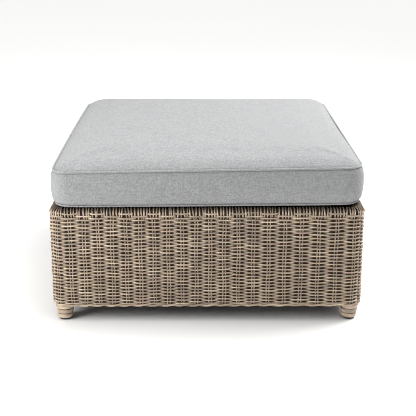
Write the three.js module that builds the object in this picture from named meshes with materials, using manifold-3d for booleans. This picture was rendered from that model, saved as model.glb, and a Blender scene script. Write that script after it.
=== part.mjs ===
// Outdoor ottoman footstool: a woven base on a tube frame, with a loose box cushion.
// Millimetres, +Z up. The origin is on the floor under the middle, and the front faces -Y.

import * as THREE from 'three';
import { mergeVertices } from 'three/addons/utils/BufferGeometryUtils.js';
import Module from 'manifold-3d';

const wasm = await Module();
wasm.setup();

// Base: the outer face of the woven skin, measured at the rim
const base_width = 800;
const base_depth = 850;
const base_corner_radius = 35;
const base_flare = 3;
const ground_clearance = 44;
const rim_top_height = 309;
const skin_thickness = 13;
const bottom_border_height = 14;
const bottom_border_rounding = 5;

// Weave: its face stands out in a rib over each column of stakes, and the front's columns widen rightwards
const column_count = 88;
const front_column_count = 21;
const even_column_count = 12;
const first_column_share = -0.96;
const column_step_share = 0.088;
const column_widening_share = 0.002265;
const rib_inset = 1.2;
const rib_depth = 2.8;

// Clearance between pieces that touch on the real object
const seat_gap = 0.3;

// Frame tubes
const tube_wall = 1.5;
const top_rail_radius = 12;
const rim_strand_thickness = 2.7;
const bottom_rail_size = 24;
const bottom_rail_height = 54;
const post_inset = 27.5;
const post_radius = 10;
const upright_size = 20;
const cross_bar_radius = 8;
const cross_bar_drop = 6;
const cross_bar_place_shares = [-0.83, -0.28, 0.28, 0.83];

// Deck slats that carry the cushion
const slat_count = 5;
const slat_width_share = 0.5;
const slat_side_clearance = 20;

// Feet: a tapered core wound with one broad strand, over a push-in glide
const foot_top_radius = 18.5;
const foot_bottom_radius = 13.1;
const foot_collar_radius = 20.4;
const foot_collar_height = 5.7;
const foot_socket_floor = 30;
const glide_height = 5;
const glide_radius = 15.5;
const glide_edge = 1.5;
const glide_stem_radius = 4;
const glide_stem_length = 16;
const strand_width = 9.8;
const strand_thickness = 3.6;
const winding_turns = 2;
const winding_clearance = 0.5;
const winding_bend_radius = 2.5;
const winding_end_run = 5.8;
const pocket_clearance = 0.4;

// Cushion: the fullest part of its band stands back from the base's outer faces
const cushion_side_setback = 4;
const cushion_end_setback = 3;
const cushion_corner_radius = 48;
const cushion_band_height = 92;
const cushion_bottom_rise = 5;
const cushion_corner_lift = 6;
const cushion_crown = 30;
const crown_roll = 30;
const top_seam_inset = 7;
const bottom_seam_inset = 11;
const band_bulge = 9;
const cloth_thickness = 1.5;
const piping_radius = 3.5;
const foam_relief = 0.8;
const foam_side_room = 1.8;

// Zip in the back of the band
const zip_length_share = 0.783;
const zip_slot_height = 26;
const zip_recess = 1.4;
const zip_tape_thickness = 1.2;
const zip_chain_width = 5;
const zip_chain_thickness = 1.6;
const zip_end_margin = 12;
const slider_length = 9;
const slider_height = 9;
const slider_roof = 1.6;
const lug_thickness = 1.2;
const lug_height = 3.2;
const lug_depth = 3.2;
const pin_radius = 0.8;
const pin_rise = 1.9;
const pull_eye_radius = 1.6;
const pull_width = 5;
const pull_length = 22;
const pull_thickness = 1.2;

// Counts that set how finely the round shapes are cut
const corner_steps = 3;
const round_segments = 8;
const rail_segments = 12;
const foot_segments = 24;
const glide_segments = 16;
const piping_sides = 6;
const bend_steps = 3;
const cushion_corner_steps = 4;
const cushion_side_points = 3;
const border_round_steps = 2;
const rim_round_steps = 5;

const RIGHT_ANGLE = Math.PI / 2;

// Sizes that follow from the ones above
const rim_radius = top_rail_radius + seat_gap + rim_strand_thickness;
const rim_centre_height = rim_top_height - rim_radius;
const corner_x = base_width / 2 - base_corner_radius;
const corner_y = base_depth / 2 - base_corner_radius;
const corner_arc = RIGHT_ANGLE * base_corner_radius;
const outline_length = 4 * (corner_x + corner_y + corner_arc);
const post_x = base_width / 2 - post_inset;
const post_y = base_depth / 2 - post_inset;
const skin_bottom_height = ground_clearance + bottom_border_height + seat_gap;
const skin_top_height = rim_centre_height - top_rail_radius - seat_gap;
const bottom_rail_top = bottom_rail_height + bottom_rail_size;
const cross_bar_height = rim_centre_height - cross_bar_drop;
const slat_bottom_height = cross_bar_height + cross_bar_radius + seat_gap;
const slat_spacing = (base_width - 4 * rim_radius - 2 * slat_side_clearance) / slat_count;
const slat_width = slat_width_share * slat_spacing;
const foot_core_bottom = glide_height + seat_gap;
const foot_core_top = ground_clearance - seat_gap;
const foot_collar_bottom = foot_core_top - foot_collar_height;
const cushion_width = base_width - 2 * cushion_side_setback;
const cushion_depth = base_depth - 2 * cushion_end_setback;
const cushion_bottom = rim_top_height + seat_gap;
const bottom_seam_height = cushion_bottom + cushion_bottom_rise;
const top_seam_height = bottom_seam_height + cushion_band_height;
const seam_clearance = piping_radius + seat_gap;
const zip_length = zip_length_share * cushion_width;
const zip_height = (bottom_seam_height + top_seam_height) / 2;
const zip_tape_face = cushion_depth / 2 - zip_recess;
const zip_chain_face = zip_tape_face + seat_gap;
const slider_roof_face = zip_chain_face + zip_chain_thickness + seat_gap;
const slider_face = slider_roof_face + slider_roof;
const slider_start = zip_length / 2 - zip_end_margin - slider_length / 2;
const pin_face = slider_face + pin_rise;

function finish(color, roughness, metalness) {
  return new THREE.MeshStandardMaterial({ color, roughness, metalness });
}

const finishes = {
  frame: () => finish(0x5c544b, 0.5, 0.3),
  wicker: () => finish(0x7f7163, 0.75, 0),
  foot_strand: () => finish(0xa39584, 0.7, 0),
  foot_core: () => finish(0x3a332c, 0.6, 0),
  glide: () => finish(0x1b1b1c, 0.55, 0),
  cloth: () => finish(0xb9bbbd, 0.95, 0),
  piping: () => finish(0xc4c5c6, 0.95, 0),
  foam: () => finish(0xe6dfcb, 0.95, 0),
  zip_tape: () => finish(0x9c9ea0, 0.9, 0),
  zip_chain: () => finish(0x85888a, 0.5, 0),
  zip_metal: () => finish(0x9ea1a4, 0.35, 0.8),
};

// Makes one closed geometry, with its faces turned outwards
function closed_geometry(points, triangles) {
  let volume = 0;
  for (const [a, b, c] of triangles) {
    volume += points[a].dot(points[b].clone().cross(points[c]));
  }
  const index = triangles.flatMap(([a, b, c]) => (volume > 0 ? [a, b, c] : [a, c, b]));
  const geometry = new THREE.BufferGeometry();
  const positions = points.flatMap((point) => [point.x, point.y, point.z]);
  geometry.setAttribute('position', new THREE.Float32BufferAttribute(positions, 3));
  geometry.setIndex(index);
  geometry.computeVertexNormals();
  return geometry;
}

function to_solid(geometry) {
  const bare = geometry.clone();
  bare.deleteAttribute('normal');
  bare.deleteAttribute('uv');
  const merged = mergeVertices(bare);
  const vertProperties = new Float32Array(merged.attributes.position.array);
  const triVerts = new Uint32Array(merged.index.array);
  return new wasm.Manifold(new wasm.Mesh({ numProp: 3, vertProperties, triVerts }));
}

function from_solid(solid) {
  const mesh = solid.getMesh();
  const geometry = new THREE.BufferGeometry();
  geometry.setAttribute('position', new THREE.Float32BufferAttribute(mesh.vertProperties, 3));
  geometry.setIndex(Array.from(mesh.triVerts));
  geometry.computeVertexNormals();
  return geometry;
}

// Joins rings of equal length into one skin: a ring of rings, or a skin closed by a point at each end
function loft(rings, apexes) {
  const count = rings[0].length;
  const points = rings.flat();
  const triangles = [];
  const spans = apexes ? rings.length - 1 : rings.length;
  for (let ring = 0; ring < spans; ring += 1) {
    const low = ring * count;
    const high = ((ring + 1) % rings.length) * count;
    for (let step = 0; step < count; step += 1) {
      const next = (step + 1) % count;
      triangles.push([low + step, low + next, high + next]);
      triangles.push([low + step, high + next, high + step]);
    }
  }
  if (apexes) {
    const first = points.push(apexes[0]) - 1;
    const last = points.push(apexes[1]) - 1;
    const end = (rings.length - 1) * count;
    for (let step = 0; step < count; step += 1) {
      const next = (step + 1) % count;
      triangles.push([first, next, step]);
      triangles.push([last, end + step, end + next]);
    }
  }
  return closed_geometry(points, triangles);
}

// Lengths from the middle of a side at which its corners are cut, out to the corners' middles
function corner_alongs(side) {
  const half_straight = side % 2 === 0 ? corner_x : corner_y;
  const alongs = [];
  for (let step = 0; step <= corner_steps; step += 1) {
    const along = half_straight + (corner_arc / 2) * (step / corner_steps);
    alongs.push(-along, along);
  }
  return alongs.sort((first, second) => first - second);
}

// Station at a length from the middle of a side, anticlockwise round the base
function outline_station(side, along) {
  const end = along < 0 ? -1 : 1;
  const diagonal = RIGHT_ANGLE * (side - 1 + end / 2);
  const centre_x = corner_x * Math.sign(Math.cos(diagonal));
  const centre_y = corner_y * Math.sign(Math.sin(diagonal));
  const past = Math.abs(along) - (side % 2 === 0 ? corner_x : corner_y);
  const angle = RIGHT_ANGLE * (side - 1) + (end * Math.max(0, past)) / base_corner_radius;
  return { centre_x, centre_y, angle, slip: end * Math.min(0, past) };
}

// Stations along one side of the base, from the middle of one corner to the middle of the next
function side_stations(side, alongs = corner_alongs(side)) {
  const stations = alongs.map((along) => outline_station(side, along));
  stations[0].slip += seat_gap / 2;
  stations[stations.length - 1].slip -= seat_gap / 2;
  return stations;
}

// Lengths round the outline, from the middle of the front, at which the stake columns stand
function column_places() {
  const places = [];
  for (let column = 0; column < front_column_count; column += 1) {
    const extra = Math.max(0, column - even_column_count);
    const share = first_column_share + column_step_share * column + column_widening_share * extra * extra;
    const x = (share * base_width) / 2;
    const turned = Math.asin(Math.max(0, Math.abs(x) - corner_x) / base_corner_radius);
    places.push(turned > 0 ? Math.sign(x) * (corner_x + base_corner_radius * turned) : x);
  }
  const last = places[front_column_count - 1];
  const others = column_count - front_column_count;
  const pitch = (outline_length + places[0] - last) / (others + 1);
  for (let column = 1; column <= others; column += 1) {
    places.push(last + pitch * column);
  }
  return places;
}

// Ribs over the stake columns and hollows between them, as lengths from the middle of a side
function weave_ribs(side) {
  const columns = column_places();
  const lap = columns.flatMap((column, number) => {
    const next = number + 1 < columns.length ? columns[number + 1] : columns[0] + outline_length;
    return [
      { along: column, depth: rib_inset },
      { along: (column + next) / 2, depth: rib_inset + rib_depth },
    ];
  });
  const middle = (outline_length / 4) * side;
  return [-1, 0, 1].flatMap((turn) => lap.map(({ along, depth }) => {
    return { along: along + turn * outline_length - middle, depth };
  }));
}

// Places a profile point at a station: offset is outwards from the skin's face, height is along Z
function station_point(station, [offset, height]) {
  const reach = base_corner_radius + offset;
  const x = station.centre_x + Math.cos(station.angle) * reach - Math.sin(station.angle) * station.slip;
  const y = station.centre_y + Math.sin(station.angle) * reach + Math.cos(station.angle) * station.slip;
  return new THREE.Vector3(x, y, height);
}

// Sweeps closed profiles, one at each station, with a flat face at both ends
function swept_profiles(stations, profiles) {
  const contours = profiles.map((profile) => {
    const drawn = profile.map(([offset, height]) => new THREE.Vector2(offset, height));
    return THREE.ShapeUtils.area(drawn) > 0 ? drawn : drawn.reverse();
  });
  const points = contours.flatMap((contour, place) => {
    return contour.map(({ x, y }) => station_point(stations[place], [x, y]));
  });
  const count = contours[0].length;
  const triangles = [];
  for (let low = 0; low < points.length - count; low += count) {
    const high = low + count;
    for (let step = 0; step < count; step += 1) {
      const next = (step + 1) % count;
      triangles.push([low + step, high + next, low + next]);
      triangles.push([low + step, high + step, high + next]);
    }
  }
  const end = points.length - count;
  for (const [a, b, c] of THREE.ShapeUtils.triangulateShape(contours[0], [])) {
    triangles.push([a, b, c]);
    triangles.push([end + a, end + c, end + b]);
  }
  return closed_geometry(points, triangles);
}

// Sweeps one closed profile along a side
function swept_side(side, profile) {
  const stations = side_stations(side);
  return swept_profiles(stations, stations.map(() => profile));
}

// Sweeps a round tube along one side, with its bore open at both ends
function swept_tube(side, centre_offset, centre_height, radius) {
  const stations = side_stations(side);
  const circle = (size) => {
    const places = [];
    for (let step = 0; step < rail_segments; step += 1) {
      const angle = (2 * Math.PI * step) / rail_segments;
      places.push([centre_offset + size * Math.cos(angle), centre_height + size * Math.sin(angle)]);
    }
    return places;
  };
  const ring = (station, size) => circle(size).map((place) => station_point(station, place));
  const outside = stations.map((station) => ring(station, radius));
  const inside = stations.map((station) => ring(station, radius - tube_wall)).reverse();
  return loft([...outside, ...inside], null);
}

function arc_places(centre, radius, first, last, steps) {
  const places = [];
  for (let step = 0; step <= steps; step += 1) {
    const angle = first + ((last - first) * step) / steps;
    places.push([centre[0] + radius * Math.cos(angle), centre[1] + radius * Math.sin(angle)]);
  }
  return places;
}

// Woven skin of one side: it leans out by the flare towards its lower edge, and its face is ribbed
function skin_panel(side) {
  const ribs = weave_ribs(side);
  const corners = corner_alongs(side);
  const half_side = corners[corners.length - 1];
  const inner = ribs.map((rib) => rib.along).filter((along) => Math.abs(along) < half_side);
  const alongs = [...corners, ...inner].sort((first, second) => first - second);
  const profiles = alongs.map((along) => {
    const next = ribs.findIndex((rib) => rib.along >= along);
    const low = ribs[next - 1];
    const high = ribs[next];
    const share = (along - low.along) / (high.along - low.along);
    const face = -(low.depth + (high.depth - low.depth) * share);
    return [
      [base_flare + face, skin_bottom_height],
      [face, skin_top_height],
      [-skin_thickness, skin_top_height],
      [base_flare - skin_thickness, skin_bottom_height],
    ];
  });
  return swept_profiles(side_stations(side, alongs), profiles);
}

// Rim border: strands that run up the outer face and over the top rail
function rim_border(side) {
  const centre = [-rim_radius, rim_centre_height];
  const last = RIGHT_ANGLE + (RIGHT_ANGLE * 2) / 3;
  const outer = arc_places(centre, rim_radius, 0, last, rim_round_steps);
  const inner = arc_places(centre, top_rail_radius + seat_gap, last, 0, rim_round_steps);
  const leg_bottom = skin_top_height + seat_gap;
  return swept_side(side, [
    [0, leg_bottom],
    ...outer,
    ...inner,
    [-rim_strand_thickness, leg_bottom],
  ]);
}

// Closing border along the lower edge of the skin
function bottom_border(side) {
  const round = bottom_border_rounding;
  const outer = base_flare;
  const inner = base_flare - skin_thickness;
  const low = ground_clearance;
  const high = ground_clearance + bottom_border_height;
  return swept_side(side, [
    ...arc_places([outer - round, high - round], round, RIGHT_ANGLE, 0, border_round_steps),
    ...arc_places([outer - round, low + round], round, 0, -RIGHT_ANGLE, border_round_steps),
    ...arc_places([inner + round, low + round], round, -RIGHT_ANGLE, -2 * RIGHT_ANGLE, border_round_steps),
    [inner, high],
  ]);
}

function square_tube(size, length) {
  const square = (half, path) => {
    path.moveTo(-half, -half);
    path.lineTo(half, -half);
    path.lineTo(half, half);
    path.lineTo(-half, half);
    path.closePath();
    return path;
  };
  const shape = square(size / 2, new THREE.Shape());
  shape.holes.push(square(size / 2 - tube_wall, new THREE.Path()));
  return new THREE.ExtrudeGeometry(shape, { depth: length, bevelEnabled: false });
}

function round_tube(radius, length) {
  const shape = new THREE.Shape();
  shape.absarc(0, 0, radius, 0, 2 * Math.PI, false);
  const bore = new THREE.Path();
  bore.absarc(0, 0, radius - tube_wall, 0, 2 * Math.PI, true);
  shape.holes.push(bore);
  const settings = { depth: length, bevelEnabled: false, curveSegments: round_segments };
  return new THREE.ExtrudeGeometry(shape, settings);
}

function lathe(places, segments) {
  const profile = places.map(([radius, height]) => new THREE.Vector2(radius, height));
  const geometry = new THREE.LatheGeometry(profile, segments);
  geometry.rotateX(RIGHT_ANGLE);
  return geometry;
}

function named_mesh(name, geometry, material) {
  const mesh = new THREE.Mesh(geometry, material);
  mesh.name = name;
  return mesh;
}

// Radius of a foot's core at a height: it narrows towards the floor
function core_radius(height) {
  const share = (height - foot_core_bottom) / (foot_collar_bottom - foot_core_bottom);
  return foot_bottom_radius + (foot_top_radius - foot_bottom_radius) * share;
}

// Centre line of a foot's winding, with the direction of its broad face at each point
function winding_path() {
  const low = foot_core_bottom + seat_gap + strand_width / 2;
  const high = foot_collar_bottom - seat_gap - strand_width / 2;
  const slope = (foot_top_radius - foot_bottom_radius) / (foot_collar_bottom - foot_core_bottom);
  const steps = winding_turns * foot_segments;
  const path = [];
  const add = (angle, reach, along, height, tangent_turn) => {
    const radial = new THREE.Vector3(Math.cos(angle), Math.sin(angle), 0);
    const tangent = new THREE.Vector3(-Math.sin(angle), Math.cos(angle), 0);
    const centre = radial.clone().multiplyScalar(reach).addScaledVector(tangent, along);
    centre.z = height;
    const heading = tangent.clone().multiplyScalar(Math.cos(tangent_turn));
    heading.addScaledVector(radial, Math.sin(tangent_turn));
    const broad = new THREE.Vector3(0, 0, 1).addScaledVector(radial, slope);
    broad.addScaledVector(heading, -broad.dot(heading)).normalize();
    path.push({ centre, heading, broad });
  };
  const reach_at = (height) => core_radius(height) + winding_clearance + strand_thickness / 2;
  const low_reach = reach_at(low);
  const high_reach = reach_at(high);
  const bend = winding_bend_radius;
  add(0, low_reach - bend - winding_end_run, -bend, low, RIGHT_ANGLE);
  for (let step = 0; step < bend_steps; step += 1) {
    const turn = RIGHT_ANGLE * (1 - step / bend_steps);
    add(0, low_reach - bend * (1 - Math.cos(turn)), -bend * Math.sin(turn), low, turn);
  }
  for (let step = 0; step <= steps; step += 1) {
    const height = low + ((high - low) * step) / steps;
    add((2 * Math.PI * step) / foot_segments, reach_at(height), 0, height, 0);
  }
  for (let step = 1; step <= bend_steps; step += 1) {
    const turn = (RIGHT_ANGLE * step) / bend_steps;
    add(0, high_reach - bend * (1 - Math.cos(turn)), bend * Math.sin(turn), high, -turn);
  }
  add(0, high_reach - bend - winding_end_run, bend, high, -RIGHT_ANGLE);
  return path;
}

// Points round the strand at one place of its path: a flat six-sided section
function strand_ring({ centre, heading, broad }) {
  const thin = heading.clone().cross(broad);
  const section = [
    [strand_width / 2, 0],
    [strand_width / 4, strand_thickness / 2],
    [-strand_width / 4, strand_thickness / 2],
    [-strand_width / 2, 0],
    [-strand_width / 4, -strand_thickness / 2],
    [strand_width / 4, -strand_thickness / 2],
  ];
  return section.map(([across, through]) =>
    centre.clone().addScaledVector(broad, across).addScaledVector(thin, through));
}

// Least distance between surface points of the winding that lie more than half a turn apart
function least_own_gap(rings) {
  const apart = foot_segments / 2;
  let least = Infinity;
  for (let first = 0; first < rings.length; first += 1) {
    for (let second = first + apart; second < rings.length; second += 1) {
      for (const point of rings[first]) {
        for (const other of rings[second]) {
          least = Math.min(least, point.distanceTo(other));
        }
      }
    }
  }
  return least;
}

function foot_winding(path) {
  const rings = path.map(strand_ring);
  console.log(`Foot winding: least gap to itself ${least_own_gap(rings).toFixed(2)} mm`);
  return loft(rings, [path[0].centre, path[path.length - 1].centre]);
}

// Pocket in the core for one end of the winding
function end_pocket(path_end, side) {
  const floor = path_end.centre.x - seat_gap;
  const mouth = foot_collar_radius;
  const breadth = strand_thickness + 2 * pocket_clearance;
  const height = strand_width + 2 * pocket_clearance;
  const box = new THREE.BoxGeometry(mouth - floor, breadth, height);
  box.translate((mouth + floor) / 2, side * winding_bend_radius, path_end.centre.z);
  return to_solid(box);
}

function foot_core(path) {
  const stem_hole_radius = glide_stem_radius + seat_gap;
  const stem_hole_top = glide_height + glide_stem_length + seat_gap;
  const socket_radius = post_radius + seat_gap;
  const turned = lathe([
    [0, stem_hole_top],
    [stem_hole_radius, stem_hole_top],
    [stem_hole_radius, foot_core_bottom],
    [foot_bottom_radius, foot_core_bottom],
    [foot_top_radius, foot_collar_bottom],
    [foot_collar_radius, foot_collar_bottom],
    [foot_collar_radius, foot_core_top],
    [socket_radius, foot_core_top],
    [socket_radius, foot_socket_floor],
    [0, foot_socket_floor],
  ], foot_segments);
  const low_pocket = end_pocket(path[0], -1);
  const high_pocket = end_pocket(path[path.length - 1], 1);
  return from_solid(to_solid(turned).subtract(low_pocket).subtract(high_pocket));
}

function foot_glide() {
  const stem_top = glide_height + glide_stem_length;
  return lathe([
    [0, 0],
    [glide_radius - glide_edge, 0],
    [glide_radius, glide_edge],
    [glide_radius, glide_height],
    [glide_stem_radius, glide_height],
    [glide_stem_radius, stem_top],
    [0, stem_top],
  ], glide_segments);
}

function build_feet() {
  const feet = new THREE.Group();
  const path = winding_path();
  const core = foot_core(path);
  const winding = foot_winding(path);
  const glide = foot_glide();
  const corners = [
    ['front_left', -1, -1],
    ['front_right', 1, -1],
    ['back_right', 1, 1],
    ['back_left', -1, 1],
  ];
  for (const [place, side_x, side_y] of corners) {
    const foot = new THREE.Group();
    foot.add(named_mesh(`foot_core_${place}`, core, finishes.foot_core()));
    foot.add(named_mesh(`foot_wrap_${place}`, winding, finishes.foot_strand()));
    foot.add(named_mesh(`glide_${place}`, glide, finishes.glide()));
    const post_bottom = foot_socket_floor + seat_gap;
    const post_length = skin_top_height - post_bottom;
    const post = named_mesh(`post_${place}`, round_tube(post_radius, post_length), finishes.frame());
    post.position.z = post_bottom;
    foot.add(post);
    foot.position.set(side_x * post_x, side_y * post_y, 0);
    foot.rotation.z = Math.atan2(-side_y, -side_x);
    feet.add(foot);
  }
  return feet;
}

// Skin, borders and bent top rail of each side
function build_sides() {
  const sides = new THREE.Group();
  ['front', 'right', 'back', 'left'].forEach((place, side) => {
    sides.add(named_mesh(`weave_${place}`, skin_panel(side), finishes.wicker()));
    sides.add(named_mesh(`rim_border_${place}`, rim_border(side), finishes.wicker()));
    sides.add(named_mesh(`bottom_border_${place}`, bottom_border(side), finishes.wicker()));
    const rail = swept_tube(side, -rim_radius, rim_centre_height, top_rail_radius);
    sides.add(named_mesh(`top_rail_${place}`, rail, finishes.frame()));
  });
  return sides;
}

// Straight rails between the posts, with an upright on the middle of each
function build_lower_frame() {
  const frame = new THREE.Group();
  const skin_rise = skin_top_height - skin_bottom_height;
  const lean = (base_flare * (skin_top_height - bottom_rail_top)) / skin_rise;
  const rail_offset = skin_thickness + seat_gap - lean + bottom_rail_size / 2;
  const upright_offset = skin_thickness + seat_gap + upright_size / 2;
  const upright_bottom = bottom_rail_top + seat_gap;
  const upright_length = skin_top_height - upright_bottom;
  ['front', 'right', 'back', 'left'].forEach((place, side) => {
    const along_x = side % 2 === 0;
    const reach = along_x ? base_depth / 2 : base_width / 2;
    const half_length = (along_x ? post_x : post_y) - post_radius - seat_gap;
    const wall = new THREE.Group();
    const rail_shape = square_tube(bottom_rail_size, 2 * half_length);
    const rail = named_mesh(`bottom_rail_${place}`, rail_shape, finishes.frame());
    rail.rotation.y = RIGHT_ANGLE;
    rail.position.set(-half_length, rail_offset - reach, bottom_rail_height + bottom_rail_size / 2);
    wall.add(rail);
    const upright_shape = square_tube(upright_size, upright_length);
    const upright = named_mesh(`upright_${place}`, upright_shape, finishes.frame());
    upright.position.set(0, upright_offset - reach, upright_bottom);
    wall.add(upright);
    wall.rotation.z = RIGHT_ANGLE * side;
    frame.add(wall);
  });
  return frame;
}

// Cross bars between the side rails, and the slats that lie on them
function build_deck() {
  const deck = new THREE.Group();
  const bar_half = base_width / 2 - rim_radius - top_rail_radius - seat_gap;
  cross_bar_place_shares.forEach((share, place) => {
    const shape = round_tube(cross_bar_radius, 2 * bar_half);
    const bar = named_mesh(`cross_bar_${place + 1}`, shape, finishes.frame());
    bar.rotation.y = RIGHT_ANGLE;
    bar.position.set(-bar_half, (share * base_depth) / 2, cross_bar_height);
    deck.add(bar);
  });
  const slat_length = base_depth - 4 * rim_radius - 2 * seat_gap;
  const slat_thickness = rim_top_height - slat_bottom_height;
  for (let place = 0; place < slat_count; place += 1) {
    const shape = new THREE.BoxGeometry(slat_width, slat_length, slat_thickness);
    const slat = named_mesh(`slat_${place + 1}`, shape, finishes.frame());
    const x = slat_spacing * (place - (slat_count - 1) / 2);
    slat.position.set(x, 0, slat_bottom_height + slat_thickness / 2);
    deck.add(slat);
  }
  return deck;
}

// Plan outline of the cushion: lift is 1 at the corners and falls to 0 at the middle of each side
function cushion_outline(half_x, half_y, radius) {
  const places = [];
  for (let corner = 0; corner < 4; corner += 1) {
    const start = RIGHT_ANGLE * (corner - 2);
    const centre_of = (turn) => {
      const diagonal = RIGHT_ANGLE * (turn - 1.5);
      const x = (half_x - radius) * Math.sign(Math.cos(diagonal));
      const y = (half_y - radius) * Math.sign(Math.sin(diagonal));
      return new THREE.Vector2(x, y);
    };
    const centre = centre_of(corner);
    for (let step = 0; step <= cushion_corner_steps; step += 1) {
      const angle = start + (RIGHT_ANGLE * step) / cushion_corner_steps;
      const x = centre.x + radius * Math.cos(angle);
      const y = centre.y + radius * Math.sin(angle);
      places.push({ x, y, lift: 1 });
    }
    const outward = new THREE.Vector2(0, -radius).rotateAround(new THREE.Vector2(), RIGHT_ANGLE * corner);
    const from = centre.clone().add(outward);
    const to = centre_of(corner + 1).add(outward);
    for (let step = 1; step <= cushion_side_points; step += 1) {
      const share = step / (cushion_side_points + 1);
      const place = from.clone().lerp(to, share);
      places.push({ x: place.x, y: place.y, lift: (2 * share - 1) ** 2 });
    }
  }
  return places;
}

// One ring of the cushion: inset from the fullest outline, drawn in to a scale, at a height
function cushion_ring(inset, scale, height_at) {
  const radius = cushion_corner_radius - inset;
  const outline = cushion_outline(cushion_width / 2 - inset, cushion_depth / 2 - inset, radius);
  return outline.map(({ x, y, lift }) => new THREE.Vector3(x * scale, y * scale, height_at(lift)));
}

const crown_scale_shares = [1, 0.965, 0.91, 0.82, 0.6];
const band_level_shares = [0, 0.25, 0.5, 0.75, 1];
const bottom_scale_shares = [1, 0.955];

// Height of the crown over the top seam, rolling up quickly from the edge
function crown_height(scale) {
  const inward = (1 - scale) * (cushion_width / 2);
  return cushion_crown * (1 - Math.exp(-inward / crown_roll));
}

function band_inset(share) {
  const seam = bottom_seam_inset + (top_seam_inset - bottom_seam_inset) * share;
  return seam - band_bulge * Math.sin(Math.PI * share);
}

function band_height(share, lift) {
  const low = bottom_seam_height + seam_clearance + cushion_corner_lift * lift;
  const high = top_seam_height - seam_clearance;
  return low + (high - low) * share;
}

// Height of the bottom panel's outer face: from the lifted seam down to the flat underside
function underside_height(scale, lift) {
  const at_seam = scale === 1;
  return at_seam ? bottom_seam_height + cushion_corner_lift * lift : cushion_bottom;
}

function cover_top() {
  const edge = top_seam_inset + seam_clearance;
  const face = (drop) => crown_scale_shares.map((scale) =>
    cushion_ring(edge, scale, () => top_seam_height + cloth_thickness + crown_height(scale) - drop));
  const peak = top_seam_height + cloth_thickness + crown_height(0);
  const outside = face(0).reverse();
  const inside = face(cloth_thickness);
  return loft([...outside, ...inside], [
    new THREE.Vector3(0, 0, peak),
    new THREE.Vector3(0, 0, peak - cloth_thickness),
  ]);
}

function cover_band() {
  const face = (inward) => band_level_shares.map((share) =>
    cushion_ring(band_inset(share) + inward, 1, (lift) => band_height(share, lift)));
  const band = loft([...face(0), ...face(cloth_thickness).reverse()], null);
  const slot_depth = 4 * (band_bulge + cloth_thickness);
  const slot = new THREE.BoxGeometry(zip_length, slot_depth, zip_slot_height);
  slot.translate(0, cushion_depth / 2, zip_height);
  return from_solid(to_solid(band).subtract(to_solid(slot)));
}

function cover_bottom() {
  const edge = bottom_seam_inset + seam_clearance;
  const face = (rise) => bottom_scale_shares.map((scale) =>
    cushion_ring(edge, scale, (lift) => underside_height(scale, lift) + rise));
  const outside = face(0).reverse();
  const inside = face(cloth_thickness);
  return loft([...outside, ...inside], [
    new THREE.Vector3(0, 0, cushion_bottom),
    new THREE.Vector3(0, 0, cushion_bottom + cloth_thickness),
  ]);
}

// Cord of piping in a seam
function piping(seam_inset, height_at) {
  const rings = [];
  for (let step = 0; step < piping_sides; step += 1) {
    const angle = (2 * Math.PI * step) / piping_sides;
    const inset = seam_inset - piping_radius * Math.cos(angle);
    const rise = piping_radius * Math.sin(angle);
    rings.push(cushion_ring(inset, 1, (lift) => height_at(lift) + rise));
  }
  return loft(rings, null);
}

// Foam inside the cover, clear of the piping at both seams: its rings run from the crown downwards
function foam_core() {
  const clear = seam_clearance + foam_relief;
  const lining = cloth_thickness + seat_gap;
  const bottom_edge = bottom_seam_inset + clear;
  const top_edge = top_seam_inset + clear;
  const low_side = (lift) => bottom_seam_height + clear + cushion_corner_lift * lift;
  const middle = band_level_shares[2];
  const crown_rings = crown_scale_shares.slice(0, -1).reverse().map((scale) =>
    cushion_ring(top_edge, scale, () => top_seam_height + crown_height(scale) - seat_gap));
  const rings = [
    ...crown_rings,
    cushion_ring(top_seam_inset + foam_side_room, 1, () => top_seam_height - clear),
    cushion_ring(band_inset(middle) + 2 * foam_side_room, 1, (lift) => band_height(middle, lift)),
    cushion_ring(bottom_seam_inset + foam_side_room, 1, low_side),
    cushion_ring(bottom_edge, 1, (lift) => underside_height(1, lift) + lining),
    cushion_ring(bottom_edge, bottom_scale_shares[1], () => cushion_bottom + lining),
  ];
  return loft(rings, [
    new THREE.Vector3(0, 0, top_seam_height + cushion_crown - seat_gap - foam_relief),
    new THREE.Vector3(0, 0, cushion_bottom + lining),
  ]);
}

function back_box(length, depth, height, x, y_low, z) {
  const box = new THREE.BoxGeometry(length, depth, height);
  box.translate(x, y_low + depth / 2, z);
  return box;
}

function zip_tape() {
  const length = zip_length - 2 * seat_gap;
  const height = zip_slot_height - 2 * seat_gap;
  const inner = zip_tape_face - zip_tape_thickness;
  return back_box(length, zip_tape_thickness, height, 0, inner, zip_height);
}

function zip_chain() {
  const length = zip_length - 2 * zip_end_margin;
  return back_box(length, zip_chain_thickness, zip_chain_width, 0, zip_chain_face, zip_height);
}

// Slider: a block that straddles the chain, with two lugs and a pin for the pull
function zip_slider() {
  const depth = slider_face - zip_chain_face;
  const block = back_box(slider_length, depth, slider_height, 0, zip_chain_face, zip_height);
  const channel_depth = zip_chain_thickness + seat_gap;
  const channel_height = zip_chain_width + 2 * seat_gap;
  const channel_start = zip_chain_face - channel_depth;
  const channel_length = 2 * slider_length;
  const channel = back_box(channel_length, 2 * channel_depth, channel_height, 0, channel_start, zip_height);
  let solid = to_solid(block).subtract(to_solid(channel));
  const lug_x = (pull_width + lug_thickness) / 2 + seat_gap;
  const lug_root = slider_face - slider_roof / 2;
  for (const side of [-1, 1]) {
    const lug_reach = lug_depth + slider_roof / 2;
    const lug = back_box(lug_thickness, lug_reach, lug_height, side * lug_x, lug_root, zip_height);
    solid = solid.add(to_solid(lug));
  }
  const pin = new THREE.CylinderGeometry(pin_radius, pin_radius, 2 * lug_x, rail_segments);
  pin.rotateZ(RIGHT_ANGLE);
  pin.translate(0, pin_face, zip_height);
  return from_solid(solid.add(to_solid(pin)));
}

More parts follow.
